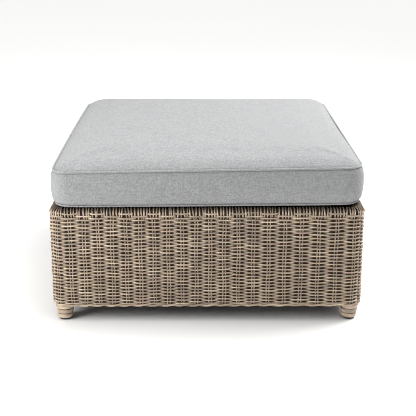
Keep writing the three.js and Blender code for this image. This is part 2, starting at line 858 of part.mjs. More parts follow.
// Pull: an eye round the slider's pin, and a plate that hangs from it
function zip_pull() {
  const eye = new THREE.CylinderGeometry(pull_eye_radius, pull_eye_radius, pull_width, rail_segments);
  eye.rotateZ(RIGHT_ANGLE);
  eye.translate(0, pin_face, zip_height);
  const bore_radius = pin_radius + seat_gap;
  const bore = new THREE.CylinderGeometry(bore_radius, bore_radius, 2 * pull_width, rail_segments);
  bore.rotateZ(RIGHT_ANGLE);
  bore.translate(0, pin_face, zip_height);
  const plate_face = pin_face - pull_thickness / 2;
  const plate_middle = zip_height - pull_length / 2;
  const plate = back_box(pull_width, pull_thickness, pull_length, 0, plate_face, plate_middle);
  return from_solid(to_solid(eye).add(to_solid(plate)).subtract(to_solid(bore)));
}

function build_cushion() {
  const cushion = new THREE.Group();
  const bottom_seam = (lift) => bottom_seam_height + cushion_corner_lift * lift;
  cushion.add(named_mesh('cover_top', cover_top(), finishes.cloth()));
  cushion.add(named_mesh('cover_band', cover_band(), finishes.cloth()));
  cushion.add(named_mesh('cover_bottom', cover_bottom(), finishes.cloth()));
  cushion.add(named_mesh('piping_top', piping(top_seam_inset, () => top_seam_height), finishes.piping()));
  cushion.add(named_mesh('piping_bottom', piping(bottom_seam_inset, bottom_seam), finishes.piping()));
  cushion.add(named_mesh('foam_core', foam_core(), finishes.foam()));
  cushion.add(named_mesh('zip_tape', zip_tape(), finishes.zip_tape()));
  cushion.add(named_mesh('zip_chain', zip_chain(), finishes.zip_chain()));
  const runner = new THREE.Group();
  runner.add(named_mesh('zip_slider', zip_slider(), finishes.zip_metal()));
  runner.add(named_mesh('zip_pull', zip_pull(), finishes.zip_metal()));
  runner.position.x = slider_start;
  cushion.add(runner);
  return cushion;
}

const footstool = new THREE.Group();
footstool.add(build_sides());
footstool.add(build_lower_frame());
footstool.add(build_deck());
footstool.add(build_feet());
footstool.add(build_cushion());

export default footstool;
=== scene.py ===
"""Looks of an outdoor ottoman footstool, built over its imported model.

The woven sides, rim, lower edge and foot windings are real strands, the cushion is inflated cloth,
and every finish is made from nodes. Lengths are in metres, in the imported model's frame: the origin
is on the floor under the middle, +Z is up and the front faces -Y.
"""

import math

import bmesh
import bpy
import numpy as np
from bpy.props import FloatProperty, FloatVectorProperty, IntProperty, PointerProperty
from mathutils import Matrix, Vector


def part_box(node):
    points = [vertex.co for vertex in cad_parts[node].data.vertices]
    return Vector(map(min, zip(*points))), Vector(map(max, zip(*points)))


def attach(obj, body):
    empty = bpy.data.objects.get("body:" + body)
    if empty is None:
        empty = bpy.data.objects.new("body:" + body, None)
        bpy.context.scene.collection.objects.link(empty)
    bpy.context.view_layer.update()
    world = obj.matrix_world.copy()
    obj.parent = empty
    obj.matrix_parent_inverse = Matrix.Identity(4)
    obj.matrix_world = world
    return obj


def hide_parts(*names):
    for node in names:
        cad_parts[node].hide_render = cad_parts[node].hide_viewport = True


bl_info = {
    "name": "Ottoman footstool",
    "version": (1, 0, 0),
    "blender": (4, 5, 0),
    "location": "3D View > Sidebar > Footstool",
    "description": "Woven base, feet, deck, cushion and zip of an outdoor footstool",
    "category": "Object",
}

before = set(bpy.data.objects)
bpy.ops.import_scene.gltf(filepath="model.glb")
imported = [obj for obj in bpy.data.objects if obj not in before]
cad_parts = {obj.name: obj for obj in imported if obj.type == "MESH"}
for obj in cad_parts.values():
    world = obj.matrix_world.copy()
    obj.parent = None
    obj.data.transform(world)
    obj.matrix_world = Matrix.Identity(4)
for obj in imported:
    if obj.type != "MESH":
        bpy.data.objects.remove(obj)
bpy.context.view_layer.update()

MM = 0.001
SIDES = ("front", "right", "back", "left")
CORNERS = ("front_left", "front_right", "back_right", "back_left")


def millimetres(name, description, value):
    """A length property whose default is given in millimetres."""
    return FloatProperty(
        name=name, description=description, default=value * MM, unit="LENGTH", precision=5)


def colour(name, description, value):
    return FloatVectorProperty(
        name=name, description=description, default=value, size=3, min=0, max=1, subtype="COLOR")


class BaseSizes(bpy.types.PropertyGroup):
    """Outline of the woven base."""
    half_width: millimetres("Half width", "From the middle to the outer face at the rim", 401.2)
    half_depth: millimetres("Half depth", "From the middle to the outer face at the rim", 425)
    corner_radius: millimetres("Corner radius", "Of the outer face at the rim", 35)
    flare: millimetres("Flare", "How far the lower edge leans out", 3)
    rim_top: millimetres("Rim top", "Height of the top of the rim", 309)
    rail_drop: millimetres("Rail drop", "From the rim's top to the middle of the top rail", 15)
    lower_edge: millimetres("Lower edge", "Height of the skin's lower edge", 41)


class WeaveSizes(bpy.types.PropertyGroup):
    """Strands and stakes of the weave."""
    middle: millimetres("Middle layer", "From the outer face back to the stakes", 4.8)
    swing: millimetres("Swing", "How far a strand passes before and behind the stakes", 3.4)
    strand_thickness: millimetres("Strand thickness", "Of a running strand", 2.9)
    stake_thickness: millimetres("Stake thickness", "Diameter of an upright stake", 3.6)
    stake_spread: millimetres("Stake spread", "From a column's middle to each of its two stakes", 3.4)
    first_row: millimetres("First row", "Height of the row under the rim", 295.2)
    last_row: millimetres("Last row", "Height of the row over the closing twist", 52.0)
    top_pitch: millimetres("Top pitch", "Rise from row to row near the rim", 4.95)
    bottom_pitch: millimetres("Bottom pitch", "Rise from row to row near the lower edge", 4.3)
    wander: millimetres("Wander", "How far the rows stray up and down", 1.0)
    column_count: IntProperty(name="Columns", description="Stake pairs round the base", default=88)
    front_columns: IntProperty(name="Front columns", description="Stake pairs on the front", default=21)
    even_columns: IntProperty(name="Even columns", description="Front stake pairs set evenly", default=12)
    first_column: FloatProperty(
        name="First column", description="Its place on the front, as a share of the half width",
        default=-0.9544)
    column_step: FloatProperty(
        name="Column step", description="From column to column, as a share of the half width", default=0.0886)
    column_widening: FloatProperty(
        name="Column widening", description="Growth of the step, as a share of the half width",
        default=0.00186)


class RimSizes(bpy.types.PropertyGroup):
    """Strands wrapped over the top rail, and the twist that closes the lower edge."""
    wrap_spacing: millimetres("Wrap spacing", "Along the rim", 7.7)
    wrap_width: millimetres("Wrap width", "Of a strand over the rail", 3.6)
    wrap_thickness: millimetres("Wrap thickness", "Of a strand over the rail", 2.6)
    wrap_radius: millimetres("Wrap radius", "From the rail's middle to a strand's middle", 13.5)
    filler_inset: millimetres("Filler inset", "From the outer face to the strands along a side rail", 31.4)
    filler_height: millimetres("Filler height", "Of the lower of the two strands along a side rail", 299.2)
    filler_width: millimetres("Filler width", "Of a strand along a side rail", 6)
    filler_end: millimetres("Filler end", "From the corner's middle to the ends of these strands", 60)
    twist_width: millimetres("Twist width", "Of a closing strand", 5.8)
    twist_rise: millimetres("Twist rise", "How far a closing strand swings up and down", 2.0)


class FootSizes(bpy.types.PropertyGroup):
    """The feet's cores, and the strand wound round each."""
    top_radius: millimetres("Top radius", "Of the core under its collar", 19.4)
    bottom_radius: millimetres("Bottom radius", "Of the core over the glide", 15.0)
    core_top: millimetres("Core top", "Height of the collar", 38)
    core_bottom: millimetres("Core bottom", "Height of the glide's top", 5.3)
    coils: IntProperty(name="Coils", description="Turns of the strand round a foot", default=3)
    lowest_coil: millimetres("Lowest coil", "Height of its middle", 11.6)
    coil_rise: millimetres("Coil rise", "From coil to coil", 12.9)
    strand_width: millimetres("Strand width", "Of the wound strand", 12.1)
    strand_thickness: millimetres("Strand thickness", "Of the wound strand", 4.2)


class CushionSizes(bpy.types.PropertyGroup):
    """The box cushion."""
    half_width: millimetres("Half width", "Over the fullest part of the band", 396)
    half_depth: millimetres("Half depth", "Over the fullest part of the band", 422)
    corner_radius: millimetres("Corner radius", "In plan", 48)
    bottom: millimetres("Underside", "Height of the underside", 309.6)
    bottom_seam: millimetres("Bottom seam", "Height of the lower piping", 314.3)
    top_seam: millimetres("Top seam", "Height of the upper piping", 406.3)
    bottom_inset: millimetres("Bottom seam inset", "From the fullest part to the lower seam", 11)
    top_inset: millimetres("Top seam inset", "From the fullest part to the upper seam", 6.2)
    bulge: millimetres("Band bulge", "How far the band swells between its seams", 10.5)
    crown: millimetres("Crown", "Rise of the top over its seam", 27)
    roll: millimetres("Crown roll", "Distance in which the crown rises", 23)
    dome: millimetres("Dome", "Further rise towards the middle", 5)
    top_tilt: millimetres("Top tilt", "How much higher the upper seam is at the front right", 6)
    left_arch: millimetres("Left arch", "Rise of the upper seam along the left side", 3)
    bottom_tilt: millimetres("Bottom tilt", "How much higher the lower seam is at the front right", 3)
    piping_radius: millimetres("Piping radius", "Of the covered cord in the seams", 2.7)
    puff: millimetres("Puff", "Most that the cloth may swell", 3.5)


class FinishColours(bpy.types.PropertyGroup):
    """Colours of the finishes, in linear light."""
    wicker_pale: colour("Wicker, pale", "Lightest streaks of the strands", (0.655, 0.53, 0.39))
    wicker_warm: colour("Wicker, warm", "Usual colour of the strands", (0.485, 0.374, 0.261))
    wicker_grey: colour("Wicker, grey", "Weathered streaks of the strands", (0.31, 0.254, 0.196))
    wicker_rosy: colour("Wicker, rosy", "Reddish streaks of the strands", (0.55, 0.395, 0.325))
    wicker_deep: colour("Wicker, deep", "Grain lines of the strands", (0.13, 0.085, 0.052))
    # painted shade: the colour that strands are darkened towards deep in the weave and on their undersides
    wicker_painted_shade: colour("Wicker, shaded", "Backs of the strands, inside the weave", (0.030, 0.012, 0.003))
    cloth: colour("Cloth", "Pale threads of the cover", (0.385, 0.389, 0.392))
    cloth_dark: colour("Cloth, dark", "Dark threads of the cover", (0.172, 0.176, 0.179))
    coat: colour("Frame coat", "Powder coat of the tubes", (0.024, 0.017, 0.012))
    slat: colour("Slat coat", "Powder coat of the slats", (0.060, 0.052, 0.045))
    foot: colour("Foot core", "Moulded core of a foot", (0.055, 0.042, 0.032))
    glide: colour("Glide", "Moulded glide under a foot", (0.012, 0.012, 0.013))
    tape: colour("Zip tape", "Woven tape of the zip", (0.30, 0.31, 0.315))
    teeth: colour("Zip teeth", "Moulded teeth of the zip", (0.20, 0.21, 0.215))
    metal: colour("Zip metal", "Slider and pull", (0.46, 0.46, 0.45))


class StudioSettings(bpy.types.PropertyGroup):
    """Camera, lights and floor."""
    lens: FloatProperty(name="Lens", description="Focal length in millimetres", default=78.63)
    pitch: FloatProperty(
        name="Pitch", description="Camera's tilt below level", default=0.31668, unit="ROTATION")
    yaw: FloatProperty(name="Yaw", description="Camera's turn to the right", default=0.0049, unit="ROTATION")
    camera_x: millimetres("Camera X", "Camera's place", -8.4)
    camera_y: millimetres("Camera Y", "Camera's place", -2587.5)
    camera_z: millimetres("Camera Z", "Camera's place", 1020.3)
    sky: FloatProperty(name="Sky", description="Strength of the light from all round", default=0.20)
    ceiling: FloatProperty(name="Ceiling", description="Strength of the even light from above", default=2.78)
    right_light: FloatProperty(name="Right light", description="Power of the upper right softbox", default=60)
    left_light: FloatProperty(name="Left light", description="Power of the front left softbox", default=22.5)
    floor: colour("Floor", "Colour of the sweep", (0.94, 0.94, 0.933))


class Wire:
    """A shader socket that can stand in a sum: each operator adds a Math node."""

    def __init__(self, paint, socket):
        self.paint = paint
        self.socket = socket

    def maths(self, operation, *values):
        return self.paint.node("ShaderNodeMath", {"operation": operation}, dict(enumerate(values)))

    def __add__(self, other):
        return self.maths("ADD", self, other)

    def __radd__(self, other):
        return self.maths("ADD", other, self)

    def __sub__(self, other):
        return self.maths("SUBTRACT", self, other)

    def __rsub__(self, other):
        return self.maths("SUBTRACT", other, self)

    def __mul__(self, other):
        return self.maths("MULTIPLY", self, other)

    def __rmul__(self, other):
        return self.maths("MULTIPLY", other, self)

    def sine(self):
        return self.maths("SINE", self)

    def size(self):
        return self.maths("ABSOLUTE", self)


class Paint:
    """One material and its nodes."""

    def __init__(self, name):
        self.material = bpy.data.materials.new(name)
        self.material.use_nodes = True
        self.tree = self.material.node_tree
        self.tree.nodes.clear()
        self.shader = self.tree.nodes.new("ShaderNodeBsdfPrincipled")
        output = self.tree.nodes.new("ShaderNodeOutputMaterial")
        self.tree.links.new(self.shader.outputs["BSDF"], output.inputs["Surface"])

    def put(self, socket, value):
        if isinstance(value, Wire):
            self.tree.links.new(value.socket, socket)
        else:
            socket.default_value = value

    def node(self, kind, settings=None, sockets=None, output=0):
        """Adds a node: its settings first, then the values or links of its sockets."""
        node = self.tree.nodes.new(kind)
        for name, value in (settings or {}).items():
            setattr(node, name, value)
        for name, value in (sockets or {}).items():
            self.put(node.inputs[name], value)
        return Wire(self, node.outputs[output])

    def parts(self, vector):
        """A vector's three numbers."""
        split = self.node("ShaderNodeSeparateXYZ", None, {0: vector})
        return [Wire(self, output) for output in split.socket.node.outputs]

    def here(self, output="Object"):
        """The point's place on the object, or with "Normal" the way that its surface faces."""
        return self.parts(self.node("ShaderNodeTexCoord", output=output))

    def vector(self, x, y, z):
        return self.node("ShaderNodeCombineXYZ", None, {0: x, 1: y, 2: z})

    def held(self, name, output="Fac"):
        """A value that the mesh holds at each point."""
        return self.node("ShaderNodeAttribute", {"attribute_name": name}, None, output)

    def noise(self, vector, scale=1.0, detail=2.0, roughness=0.5):
        values = {"Vector": vector, "Scale": scale, "Detail": detail, "Roughness": roughness}
        return self.node("ShaderNodeTexNoise", None, values, "Fac")

    def level(self, value, source, target=(0.0, 1.0)):
        """Maps one range to another, and holds the value there."""
        values = {
            "Value": value,
            "From Min": source[0], "From Max": source[1],
            "To Min": target[0], "To Max": target[1],
        }
        return self.node("ShaderNodeMapRange", {"clamp": True}, values)

    def mixed(self, share, first, second):
        """Mixes two numbers."""
        return self.node("ShaderNodeMix", {"data_type": "FLOAT"}, {0: share, 2: first, 3: second})

    def coated(self, colour, *coats):
        """A colour under further coats, each given by its share and its colour."""
        for share, coat in coats:
            sockets = {0: share}
            for socket, value in ((6, colour), (7, coat)):
                sockets[socket] = value if isinstance(value, Wire) else (*value, 1.0)
            colour = self.node("ShaderNodeMix", {"data_type": "RGBA"}, sockets, 2)
        return colour

    def bump(self, height, strength, distance):
        values = {"Height": height, "Strength": strength, "Distance": distance}
        return self.node("ShaderNodeBump", None, values, "Normal")

    def dress(self, **inputs):
        """Sets the shader's sockets: base_color=..., roughness=... and so on."""
        for name, value in inputs.items():
            title = " ".join("IOR" if word == "ior" else word.capitalize() for word in name.split("_"))
            self.put(self.shader.inputs[title], value)
        return self.material


def toned(shade, gain, lift=0.0):
    """A paler or darker kind of a colour."""
    return tuple(min(1.0, channel * gain + lift) for channel in shade)


def wicker(name, colours, tone_shift=0.0, painted_shade_strength=0.97, painted_shade_range=(0.42, 0.58), painted_underside_shade=0.0):
    """Streaked plastic strand: tones that drift along it, fine grain, and painted shade on its back and
    underside.
    """
    paint = Paint(name)
    along, around, number = paint.parts(paint.held("grain", "Vector"))
    drift = paint.noise(paint.vector(along * 9.0, around * 0.7, number * 3.17), detail=1.0)
    hue = paint.noise(paint.vector(along * 14.0 + 40.0, around * 0.9, number * 1.91), detail=1.0)
    streak = paint.noise(
        paint.vector(along * 30.0, around * 7.0, number * 2.3 + 9.0), detail=3.0, roughness=0.65)
    groove = paint.noise(paint.vector(along * 22.0, around * 16.0, number * 1.3 + 5.0))
    body = paint.coated(
        colours.wicker_grey,
        (paint.level(drift + tone_shift, (0.37, 0.64)), colours.wicker_warm),
        (paint.level(hue, (0.51, 0.66)), colours.wicker_pale),
        (paint.level(hue, (0.35, 0.47), (0.7, 0.0)), colours.wicker_rosy),
        (paint.level(streak, (0.56, 0.74), (0.0, 0.55)), colours.wicker_deep),
        (paint.level(streak, (0.42, 0.28), (0.0, 0.40)), colours.wicker_pale),
        # painted shade: darker with depth in the weave, and darker on the undersides as if lit from above
        (paint.level(paint.held("painted_shade"), painted_shade_range, (0.0, painted_shade_strength)), colours.wicker_painted_shade),
        (paint.level(paint.held("under"), (0.50, 1.0), (0.0, painted_underside_shade)), colours.wicker_painted_shade),
    )
    return paint.dress(
        base_color=body,
        roughness=paint.level(streak, (0.3, 0.7), (0.48, 0.66)),
        normal=paint.bump(groove * 0.6 + streak * 0.4, 0.5, 0.6 * MM),
    )


def thread_height(across, along, pitch):
    """Over-and-under of one set of threads: a ridge for each, broken where the other set passes over."""
    turns = math.pi / pitch
    ridge = (across * turns).sine().size()
    passing = (along * turns).sine().size()
    return ridge * (1.0 - passing * 0.5)


def cloth(name, colours, shade=1.0, pitch=1.1 * MM):
    """Heathered canvas: two sets of threads on every face, in pale and dark yarn."""
    paint = Paint(name)
    x, y, z = paint.here()
    spot = paint.vector(x, y, z)
    facing_x, _, facing_z = paint.here("Normal")
    flat = paint.level(facing_z.size(), (0.55, 0.80))
    sideways = paint.level(facing_x.size(), (0.60, 0.80))
    first = paint.mixed(sideways, x, y)
    second = paint.mixed(flat, z, y)
    slub, fine = 45.0, 620.0
    long_yarn, cross_yarn, upright_yarn = (
        paint.level(paint.noise(paint.vector(*place)), (0.44, 0.66)) for place in (
            (x * slub, y * fine, z * fine),
            (x * fine, y * slub + 7.0, z * fine),
            (x * fine, y * fine, z * slub + 3.0)))
    yarn = (long_yarn + paint.mixed(flat, upright_yarn, cross_yarn)) * 0.5
    weave = thread_height(first, second, pitch) + thread_height(second, first, pitch)
    heather = paint.noise(spot, 230.0, 3.0, 0.7)
    cloudy = paint.noise(spot, 26.0, 3.0, 0.6)
    dark = toned(colours.cloth_dark, shade)
    body = paint.coated(
        toned(colours.cloth, shade),
        (paint.level(yarn, (0.05, 0.95), (0.0, 0.55)), dark),
        (paint.level(heather, (0.40, 0.68), (0.0, 0.62)), dark),
        (paint.level(cloudy, (0.35, 0.7), (0.0, 0.10)), dark),
        # painted shade: darker in the low parts of the threads' weave
        (paint.level(weave, (0.2, 1.1), (0.14, 0.0)), dark),
    )
    return paint.dress(
        base_color=body,
        roughness=paint.level(yarn, (0.0, 1.0), (0.86, 0.96)),
        normal=paint.bump(weave * 0.7 + yarn * 0.5, 0.35, 0.6 * MM),
        sheen_weight=0.12,
        sheen_roughness=0.5,
    )


def powder_coat(name, shade, wear=0.35):
    """Fine-textured powder coat with faint dust and handling wear."""
    paint = Paint(name)
    x, y, z = paint.here()
    spot = paint.vector(x, y, z)
    orange_peel = paint.noise(spot, 900.0)
    dust = paint.noise(spot, 14.0, 4.0, 0.6)
    scuff = paint.noise(paint.vector(x * 3.0, y * 40.0, z * 40.0), detail=4.0, roughness=0.6)
    pale = toned(shade, 2.4, 0.008)
    body = paint.coated(
        shade,
        (paint.level(dust, (0.5, 0.85), (0.0, wear)), pale),
        (paint.level(scuff, (0.66, 0.8), (0.0, wear)), pale),
    )
    return paint.dress(
        base_color=body,
        roughness=paint.level(dust, (0.3, 0.8), (0.52, 0.72)),
        normal=paint.bump(orange_peel, 0.25, 0.3 * MM),
        specular_ior_level=0.3,
    )


def moulded(name, shade, roughness=0.5):
    """Moulded plastic: fine spark texture and slightly rubbed high spots."""
    paint = Paint(name)
    spot = paint.vector(*paint.here())
    spark = paint.noise(spot, 1400.0)
    rub = paint.noise(spot, 60.0, 3.0)
    body = paint.coated(shade, (paint.level(rub, (0.5, 0.8), (0.0, 0.5)), toned(shade, 2.0, 0.015)))
    return paint.dress(
        base_color=body,
        roughness=paint.level(rub, (0.3, 0.8), (roughness - 0.08, roughness + 0.12)),
        normal=paint.bump(spark, 0.2, 0.2 * MM),
    )


def tape_cloth(name, shade):
    """Closely woven zip tape with a herringbone of fine ribs."""
    paint = Paint(name)
    x, y, z = paint.here()
    rib = ((x + z.size() * 0.6) * (math.pi / (1.1 * MM))).sine().size()
    yarn = paint.noise(paint.vector(x * 900.0, y * 60.0, z * 300.0))
    dark = toned(shade, 0.55)
    body = paint.coated(
        shade,
        # painted shade: darker in the grooves between the ribs
        (paint.level(rib, (0.1, 0.9), (0.55, 0.0)), dark),
        (paint.level(yarn, (0.4, 0.7), (0.0, 0.3)), dark),
    )
    return paint.dress(base_color=body, roughness=0.88, normal=paint.bump(rib, 0.4, 0.4 * MM))


def cast_metal(name, shade):
    """Tumbled zinc casting: brushed sheen, small scratches and darker hollows."""
    paint = Paint(name)
    x, y, z = paint.here()
    brushed = paint.noise(paint.vector(x * 300.0, y * 2500.0, z * 2500.0))
    tarnish = paint.noise(paint.vector(x, y, z), 350.0, 3.0)
    body = paint.coated(shade, (paint.level(tarnish, (0.45, 0.75), (0.0, 0.5)), toned(shade, 0.45)))
    return paint.dress(
        base_color=body,
        metallic=paint.level(tarnish, (0.4, 0.8), (0.95, 0.75)),
        roughness=paint.level(brushed, (0.3, 0.7), (0.26, 0.42)),
        normal=paint.bump(brushed, 0.2, 0.1 * MM),
    )


def sweep_floor(name, shade):
    """Matt studio sweep with a barely visible mottle."""
    paint = Paint(name)
    x, y, _ = paint.here()
    mottle = paint.noise(paint.vector(x, y, 0.0), 0.7, 3.0)
    body = paint.coated(shade, (paint.level(mottle, (0.3, 0.7)), toned(shade, 0.992)))
    return paint.dress(base_color=body, roughness=0.9, specular_ior_level=0.1)


class RoundedOutline:
    """A rectangle with round corners, measured anticlockwise from the middle of the front."""

    def __init__(self, half_x, half_y, radius):
        self.radius = radius
        near_x = half_x - radius
        near_y = half_y - radius
        arc = math.pi / 2 * radius
        self.stretches = [
            (near_x, (0, -half_y), (1, 0), -90, False),
            (arc, (near_x, -near_y), None, -90, True),
            (2 * near_y, (half_x, -near_y), (0, 1), 0, False),
            (arc, (near_x, near_y), None, 0, True),
            (2 * near_x, (near_x, half_y), (-1, 0), 90, False),
            (arc, (-near_x, near_y), None, 90, True),
            (2 * near_y, (-half_x, near_y), (0, -1), 180, False),
            (arc, (-near_x, -near_y), None, 180, True),
            (near_x, (-near_x, -half_y), (1, 0), 270, False),
        ]
        self.length = sum(stretch[0] for stretch in self.stretches)
        corner = near_x + arc / 2
        self.mid_corners = [
            -corner, corner, corner + 2 * near_y + arc, 3 * near_x + 2 * near_y + 2.5 * arc,
            3 * near_x + 4 * near_y + 3.5 * arc]

    def place(self, along, outward):
        """Plan points that lie outward of the outline, and the outward directions there."""
        along, outward = np.broadcast_arrays(np.mod(along, self.length), outward)
        points = np.zeros(along.shape + (2,))
        normals = np.zeros(along.shape + (2,))
        start = 0.0
        touch = 1e-9
        for length, origin, heading, turn, is_arc in self.stretches:
            inside = (along >= start - touch) & (along <= start + length + touch)
            run = along[inside] - start
            angle = np.full(run.shape, math.radians(turn))
            if is_arc:
                angle = angle + run / self.radius
            facing = np.stack([np.cos(angle), np.sin(angle)], axis=-1)
            base = facing * self.radius if is_arc else run[:, None] * np.array(heading)
            points[inside] = np.array(origin) + base + facing * outward[inside][:, None]
            normals[inside] = facing
            start += length
        return points, normals

    def path(self, along, outward, level):
        """Points at a height over such plan points, and the outward directions there."""
        plan, normal = self.place(np.broadcast_to(along, level.shape), outward)
        centre = np.concatenate([plan, level[..., None]], axis=-1)
        return centre, np.concatenate([normal, np.zeros_like(centre[..., :1])], axis=-1)


def unit(vectors):
    return vectors / np.maximum(np.linalg.norm(vectors, axis=-1, keepdims=True), 1e-12)


def surface(name, points, faces, smooth=True):
    """A mesh of these points and faces."""
    mesh = bpy.data.meshes.new(name)
    mesh.from_pydata(np.reshape(points, (-1, 3)).tolist(), [], faces)
    if smooth:
        mesh.polygons.foreach_set("use_smooth", np.ones(len(mesh.polygons), dtype=bool))
    mesh.update()
    return mesh


def finished(name, mesh, material, body, slot, *nodes):
    """Puts a mesh in the scene, on its body, in place of the nodes that it stands for."""
    piece = bpy.data.objects.new(name, mesh)
    bpy.context.scene.collection.objects.link(piece)
    mesh.materials.append(material)
    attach(piece, body)
    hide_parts(*nodes)
    return piece


# depth of the weave over which the painted shade on its strands deepens from none to full
PAINTED_SHADE_DEPTH = 11 * MM

# a strand's own strip of the map: its start and length as shares of a cell, and its rise in a row
STRIP_START, STRIP_LENGTH = 0.03, 0.94
STRIP_FOOT, STRIP_HEIGHT = 0.1, 0.8
END_CELL_SHARES = (0.01, 0.99)


class StrandMesh:
    """Gathers flat-oval strands into one mesh, with their grain, their painted shade and a strip of map for
    each.
    """

    def __init__(self, sides=6):
        self.sides = sides
        self.points = []
        self.faces = []
        self.maps = []
        self.grain = []
        self.painted_shade = []
        self.under = []
        self.count = 0
        self.map_rows = 0

    def add(self, centre, outward, width, thickness, along, number, painted_shade, per_row=1):
        """Adds strands of equal step count: centre and outward are (strands, steps, 3)."""
        strands, steps = centre.shape[:2]
        shape = (strands, steps, self.sides)
        width, thickness, along, painted_shade = (
            np.broadcast_to(value, shape[:2])[..., None] for value in (width, thickness, along, painted_shade))
        heading = unit(np.gradient(centre, axis=1))
        broad = unit(np.cross(outward, heading))
        thin = np.cross(heading, broad)
        turn = 2 * np.pi * np.arange(self.sides) / self.sides
        ring = (
            centre[:, :, None, :]
            + broad[:, :, None, :] * (np.cos(turn) * (width / 2))[..., None]
            + thin[:, :, None, :] * (np.sin(turn) * (thickness / 2))[..., None])
        self.points.append(ring.reshape(-1, 3))
        grain = (along, turn / (2 * np.pi), np.reshape(number, (-1, 1, 1)))
        grain = np.stack([np.broadcast_to(value, shape) for value in grain], axis=-1)
        self.grain.append(grain.reshape(-1, 3))
        # painted shade: deeper strands, and the back of each strand, are darkened
        painted_shading = painted_shade - np.sin(turn) * (thickness / 2) / PAINTED_SHADE_DEPTH
        self.painted_shade.append(np.clip(painted_shading, 0, 1).reshape(-1))
        # painted shade on the undersides: 0 on a strand's top, 1 on its bottom, as if lit from above
        self.under.append(np.broadcast_to(0.5 - 0.5 * np.cos(turn), shape).reshape(-1))
        self.join(strands, steps, per_row)
        self.count += strands * steps * self.sides

    def join(self, strands, steps, per_row):
        """Faces round the strands and over their ends, and each face's place on the map."""
        sides = self.sides
        first = self.count + np.arange(strands)[:, None, None] * steps * sides
        step = np.arange(steps - 1)[None, :, None]
        side = np.arange(sides)[None, None, :]
        following = (side + 1) % sides
        low = first + step * sides
        high = low + sides
        quads = np.stack([low + side, low + following, high + following, high + side], axis=-1)
        self.faces.append(quads.reshape(-1, 4))
        row = self.map_rows + np.arange(strands) // per_row
        cell = np.arange(strands) % per_row
        self.map_rows = int(row[-1]) + 1

        def spot(step, side):
            across = (cell[:, None, None] + STRIP_START + STRIP_LENGTH * step / (steps - 1)) / per_row
            up = row[:, None, None] + STRIP_FOOT + STRIP_HEIGHT * side / sides
            return np.stack(np.broadcast_arrays(across, up), axis=-1)

        corners = [spot(step, side), spot(step, side + 1), spot(step + 1, side + 1), spot(step + 1, side)]
        self.maps.append(np.stack(corners, axis=-2).reshape(-1, 4, 2))
        for end, share in zip((0, steps - 1), END_CELL_SHARES):
            base = self.count + (np.arange(strands) * steps + end) * sides
            middle = np.stack([(cell + share) / per_row, row + 0.5], axis=-1)
            for start in range(sides // 2 - 1):
                corner = np.array([start, start + 1, sides - 2 - start, sides - 1 - start])
                self.faces.append(base[:, None] + (corner if end else corner[::-1]))
                self.maps.append(np.repeat(middle[:, None, :], 4, axis=1))

    def piece(self, name, material, slot, node):
        """Makes the object, on the base, in place of the node that it stands for."""
        mesh = surface(name, np.concatenate(self.points), np.concatenate(self.faces).tolist())
        grain = mesh.attributes.new("grain", "FLOAT_VECTOR", "POINT")
        grain.data.foreach_set("vector", np.concatenate(self.grain).astype(np.float32).ravel())
        # the painted shade, held at each point for the material
        for title, values in (("painted_shade", self.painted_shade), ("under", self.under)):
            shade = mesh.attributes.new(title, "FLOAT", "POINT")
            shade.data.foreach_set("value", np.concatenate(values).astype(np.float32))
        strips = np.concatenate(self.maps)
        strips[..., 1] /= self.map_rows
        layer = mesh.uv_layers.new(name="OFBake")
        layer.data.foreach_set("uv", strips.astype(np.float32).ravel())
        return finished(name, mesh, material, "base", slot, node)


def base_outline(base):
    return RoundedOutline(base.half_width, base.half_depth, base.corner_radius)


def side_ranges(outline):
    """Each side's name, and where it starts and ends along the outline."""
    return zip(SIDES, outline.mid_corners, outline.mid_corners[1:])


def column_places(base, weave):
    """Places of the stake pairs along the outline: the front's widen to the right."""
    outline = base_outline(base)
    index = np.arange(weave.front_columns)
    extra = np.maximum(0, index - weave.even_columns)
    share = weave.first_column + weave.column_step * index + weave.column_widening * extra ** 2
    front = share * base.half_width
    straight = base.half_width - base.corner_radius
    over = np.clip((np.abs(front) - straight) / base.corner_radius, 0, 1)
    turned = np.sign(front) * (straight + base.corner_radius * np.arcsin(over))
    front = np.where(over > 0, turned, front)
    others = weave.column_count - weave.front_columns
    pitch = (outline.length + front[0] - front[-1]) / (others + 1)
    return np.concatenate([front, front[-1] + pitch * np.arange(1, others + 1)])


# the first rows lie farther apart, around the tails of the rim's strands
TOP_ROW_DROPS = (0, 6.9 * MM, 12.3 * MM)

# unevenness of the hand weaving: spread of a strand's height, width and depth at each column
LIFT_SPREAD = 0.24 * MM
WIDTH_SPREAD = 0.05
DEPTH_SPREAD = 0.45 * MM

# slow waves of the rows: how many go round the base, and how fast they change with height
WAVE_TURNS = (7, 12, 19, 27, 38, 52)
WAVE_RATES = (8, 34)
WAVE_SHARE = 0.45

# the waves fade out over these heights from the lower edge and from the first row
LOW_FADE_START, LOW_FADE_LENGTH = 8 * MM, 25 * MM
HIGH_FADE_START, HIGH_FADE_LENGTH = 2 * MM, 22 * MM

# the skin is drawn in again at its lower edge
TUCK_DEPTH, TUCK_HEIGHT = 2.6 * MM, 14 * MM


